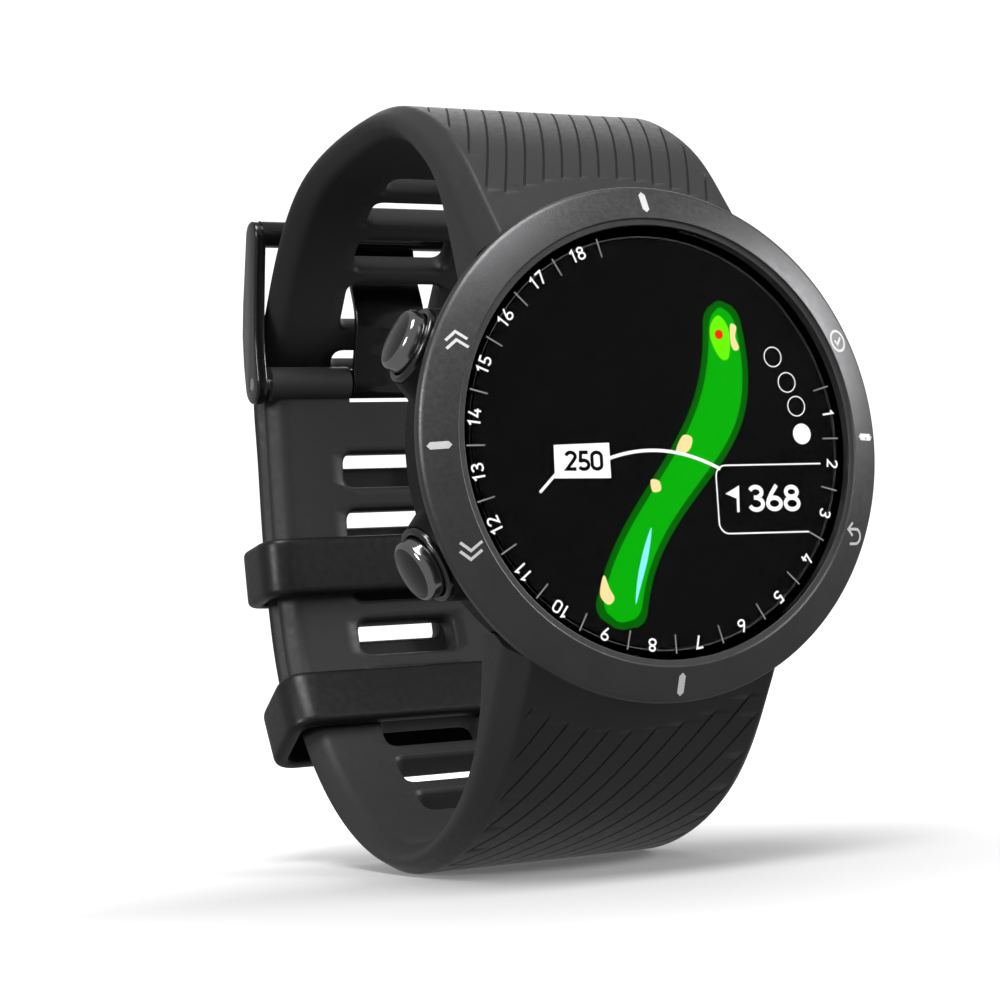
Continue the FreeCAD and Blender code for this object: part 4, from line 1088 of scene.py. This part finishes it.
def symbol(strokes, degrees, size, mat):
    """Generic printed symbol, upright on the bezel, from strokes in a box one unit across."""
    a = math.radians(degrees)
    r, raise_by, weight = 20.75, 0.02, 0.24
    pieces = []
    for path in strokes:
        placed = [(r * math.cos(a) + x * size, r * math.sin(a) + z * size) for x, z in path]
        dense = []
        for p, q in zip(placed, placed[1:]):
            dense += [(p[0] + (q[0] - p[0]) * k / 6, p[1] + (q[1] - p[1]) * k / 6) for k in range(6)]
        dense.append(placed[-1])
        loop = ribbon(dense, weight)
        n = len(loop) // 2
        verts = [(x, bezel_height(x, z) - raise_by, z) for x, z in loop]
        faces = [(i, i + 1, len(loop) - 2 - i, len(loop) - 1 - i) for i in range(n - 1)]
        piece = face_viewer(object_from_arrays("symbol", verts, faces, smooth=False))
        paint(piece, mat)
        pieces.append(piece)
    return pieces


def make_symbols():
    """Chevrons up and down, a ringed tick for select and a return arrow for back."""
    mat = MATERIALS["print"]
    chevrons = [[(-0.5, 0.0), (0.0, 0.42), (0.5, 0.0)], [(-0.5, -0.42), (0.0, 0.0), (0.5, -0.42)]]
    flipped = [[(x, -z) for x, z in path] for path in chevrons]
    ringed = [arc(0, 0, 0.55, 0, 360, 28), [(-0.25, 0.02), (-0.06, -0.2), (0.28, 0.22)]]
    back = [[(-0.12, 0.62), (-0.5, 0.28), (-0.12, -0.06)],
            [(-0.5, 0.28), (0.15, 0.28)] + arc(0.15, -0.1, 0.38, 90, -90, 10) + [(-0.35, -0.48)]]
    pieces = []
    for name, strokes in (("up", chevrons), ("down", flipped), ("select", ringed), ("back", back)):
        pieces += symbol(strokes, BUTTON_ANGLES[name], 1.7, mat)
    obj = join_objects(pieces, "bezel_symbols")
    paint(obj, mat)
    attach(obj, BODY)


# ---- build -------------------------------------------------------------------------------
make_camera()
make_stage()
make_light()
make_materials()

bezel = make_bezel()
paint(bezel, MATERIALS["bezel"])
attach(bezel, BODY)
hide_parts("bezel_ring")

for maker, node in ((make_upper_strap, "upper_strap"), (make_lower_strap, "lower_strap")):
    strap = maker()
    sharp_by_angle(strap, 55)
    paint(strap, MATERIALS["strap"])
    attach(strap, BODY)
    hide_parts(node)

for name, row, room, body in (("upper", 12, 0.3, "upper_keeper"), ("lower", 10, 0.55, "lower_keeper")):
    loop = make_keeper("keeper_" + name + "_loop", row, room)
    paint(loop, MATERIALS["keeper"])
    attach(loop, body)
    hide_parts("keeper_" + name)

buckle = make_buckle()
sharp_by_angle(buckle, 35)
paint(buckle, MATERIALS["buckle"])
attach(buckle, "buckle")
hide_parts("buckle_frame")

tongue = make_tongue()
sharp_by_angle(tongue, 35)
paint(tongue, MATERIALS["buckle"])
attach(tongue, "tongue")
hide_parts("buckle_tongue")

for name, degrees in BUTTON_ANGLES.items():
    cap = make_button(name, degrees)
    # The face takes the darkened metal as painted shade, the rim the brighter metal as a painted highlight.
    paint(cap, MATERIALS["cap_face"])
    cap.data.materials.append(MATERIALS["chrome"])
    for poly in cap.data.polygons:
        middle = poly.center / MM
        across = Vector((0, middle.y - BUTTON_Y, -math.sin(math.radians(degrees)) * middle.x
                         + math.cos(math.radians(degrees)) * middle.z))
        poly.material_index = 1 if across.length > CAP_R - 0.42 else 0
    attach(cap, name + "_button")
    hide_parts("button_" + name)

collars = join_objects([make_collar(a) for a in BUTTON_ANGLES.values()], "button_collar_rings")
sharp_by_angle(collars, 40)
paint(collars, MATERIALS["collar"])
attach(collars, BODY)
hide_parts("button_collars")

make_symbols()
make_display()

NODE_LOOKS = {
    "bezel_markers": "bright", "display_lens": "glass", "lens_gasket": "rubber", "display_panel": "panel",
    "display_tray": "black_plastic", "display_ribbon": "amber", "case_body": "case", "case_back": "steel",
    "case_back_seal": "rubber", "case_back_screws": "steel", "charging_contacts": "gold",
    "main_board": "board", "board_screws": "steel", "side_switches": "steel", "battery": "foil",
    "battery_pad": "rubber", "gps_antenna": "ceramic", "vibration_motor": "steel",
    "button_seals": "rubber", "buckle_pin": "steel"}
for node in NODES:
    if node in NODE_LOOKS:
        paint_node(node, MATERIALS[NODE_LOOKS[node]])
    elif node.startswith(("button_clip", "spring_bar", "bar_")):
        paint_node(node, MATERIALS["steel"])
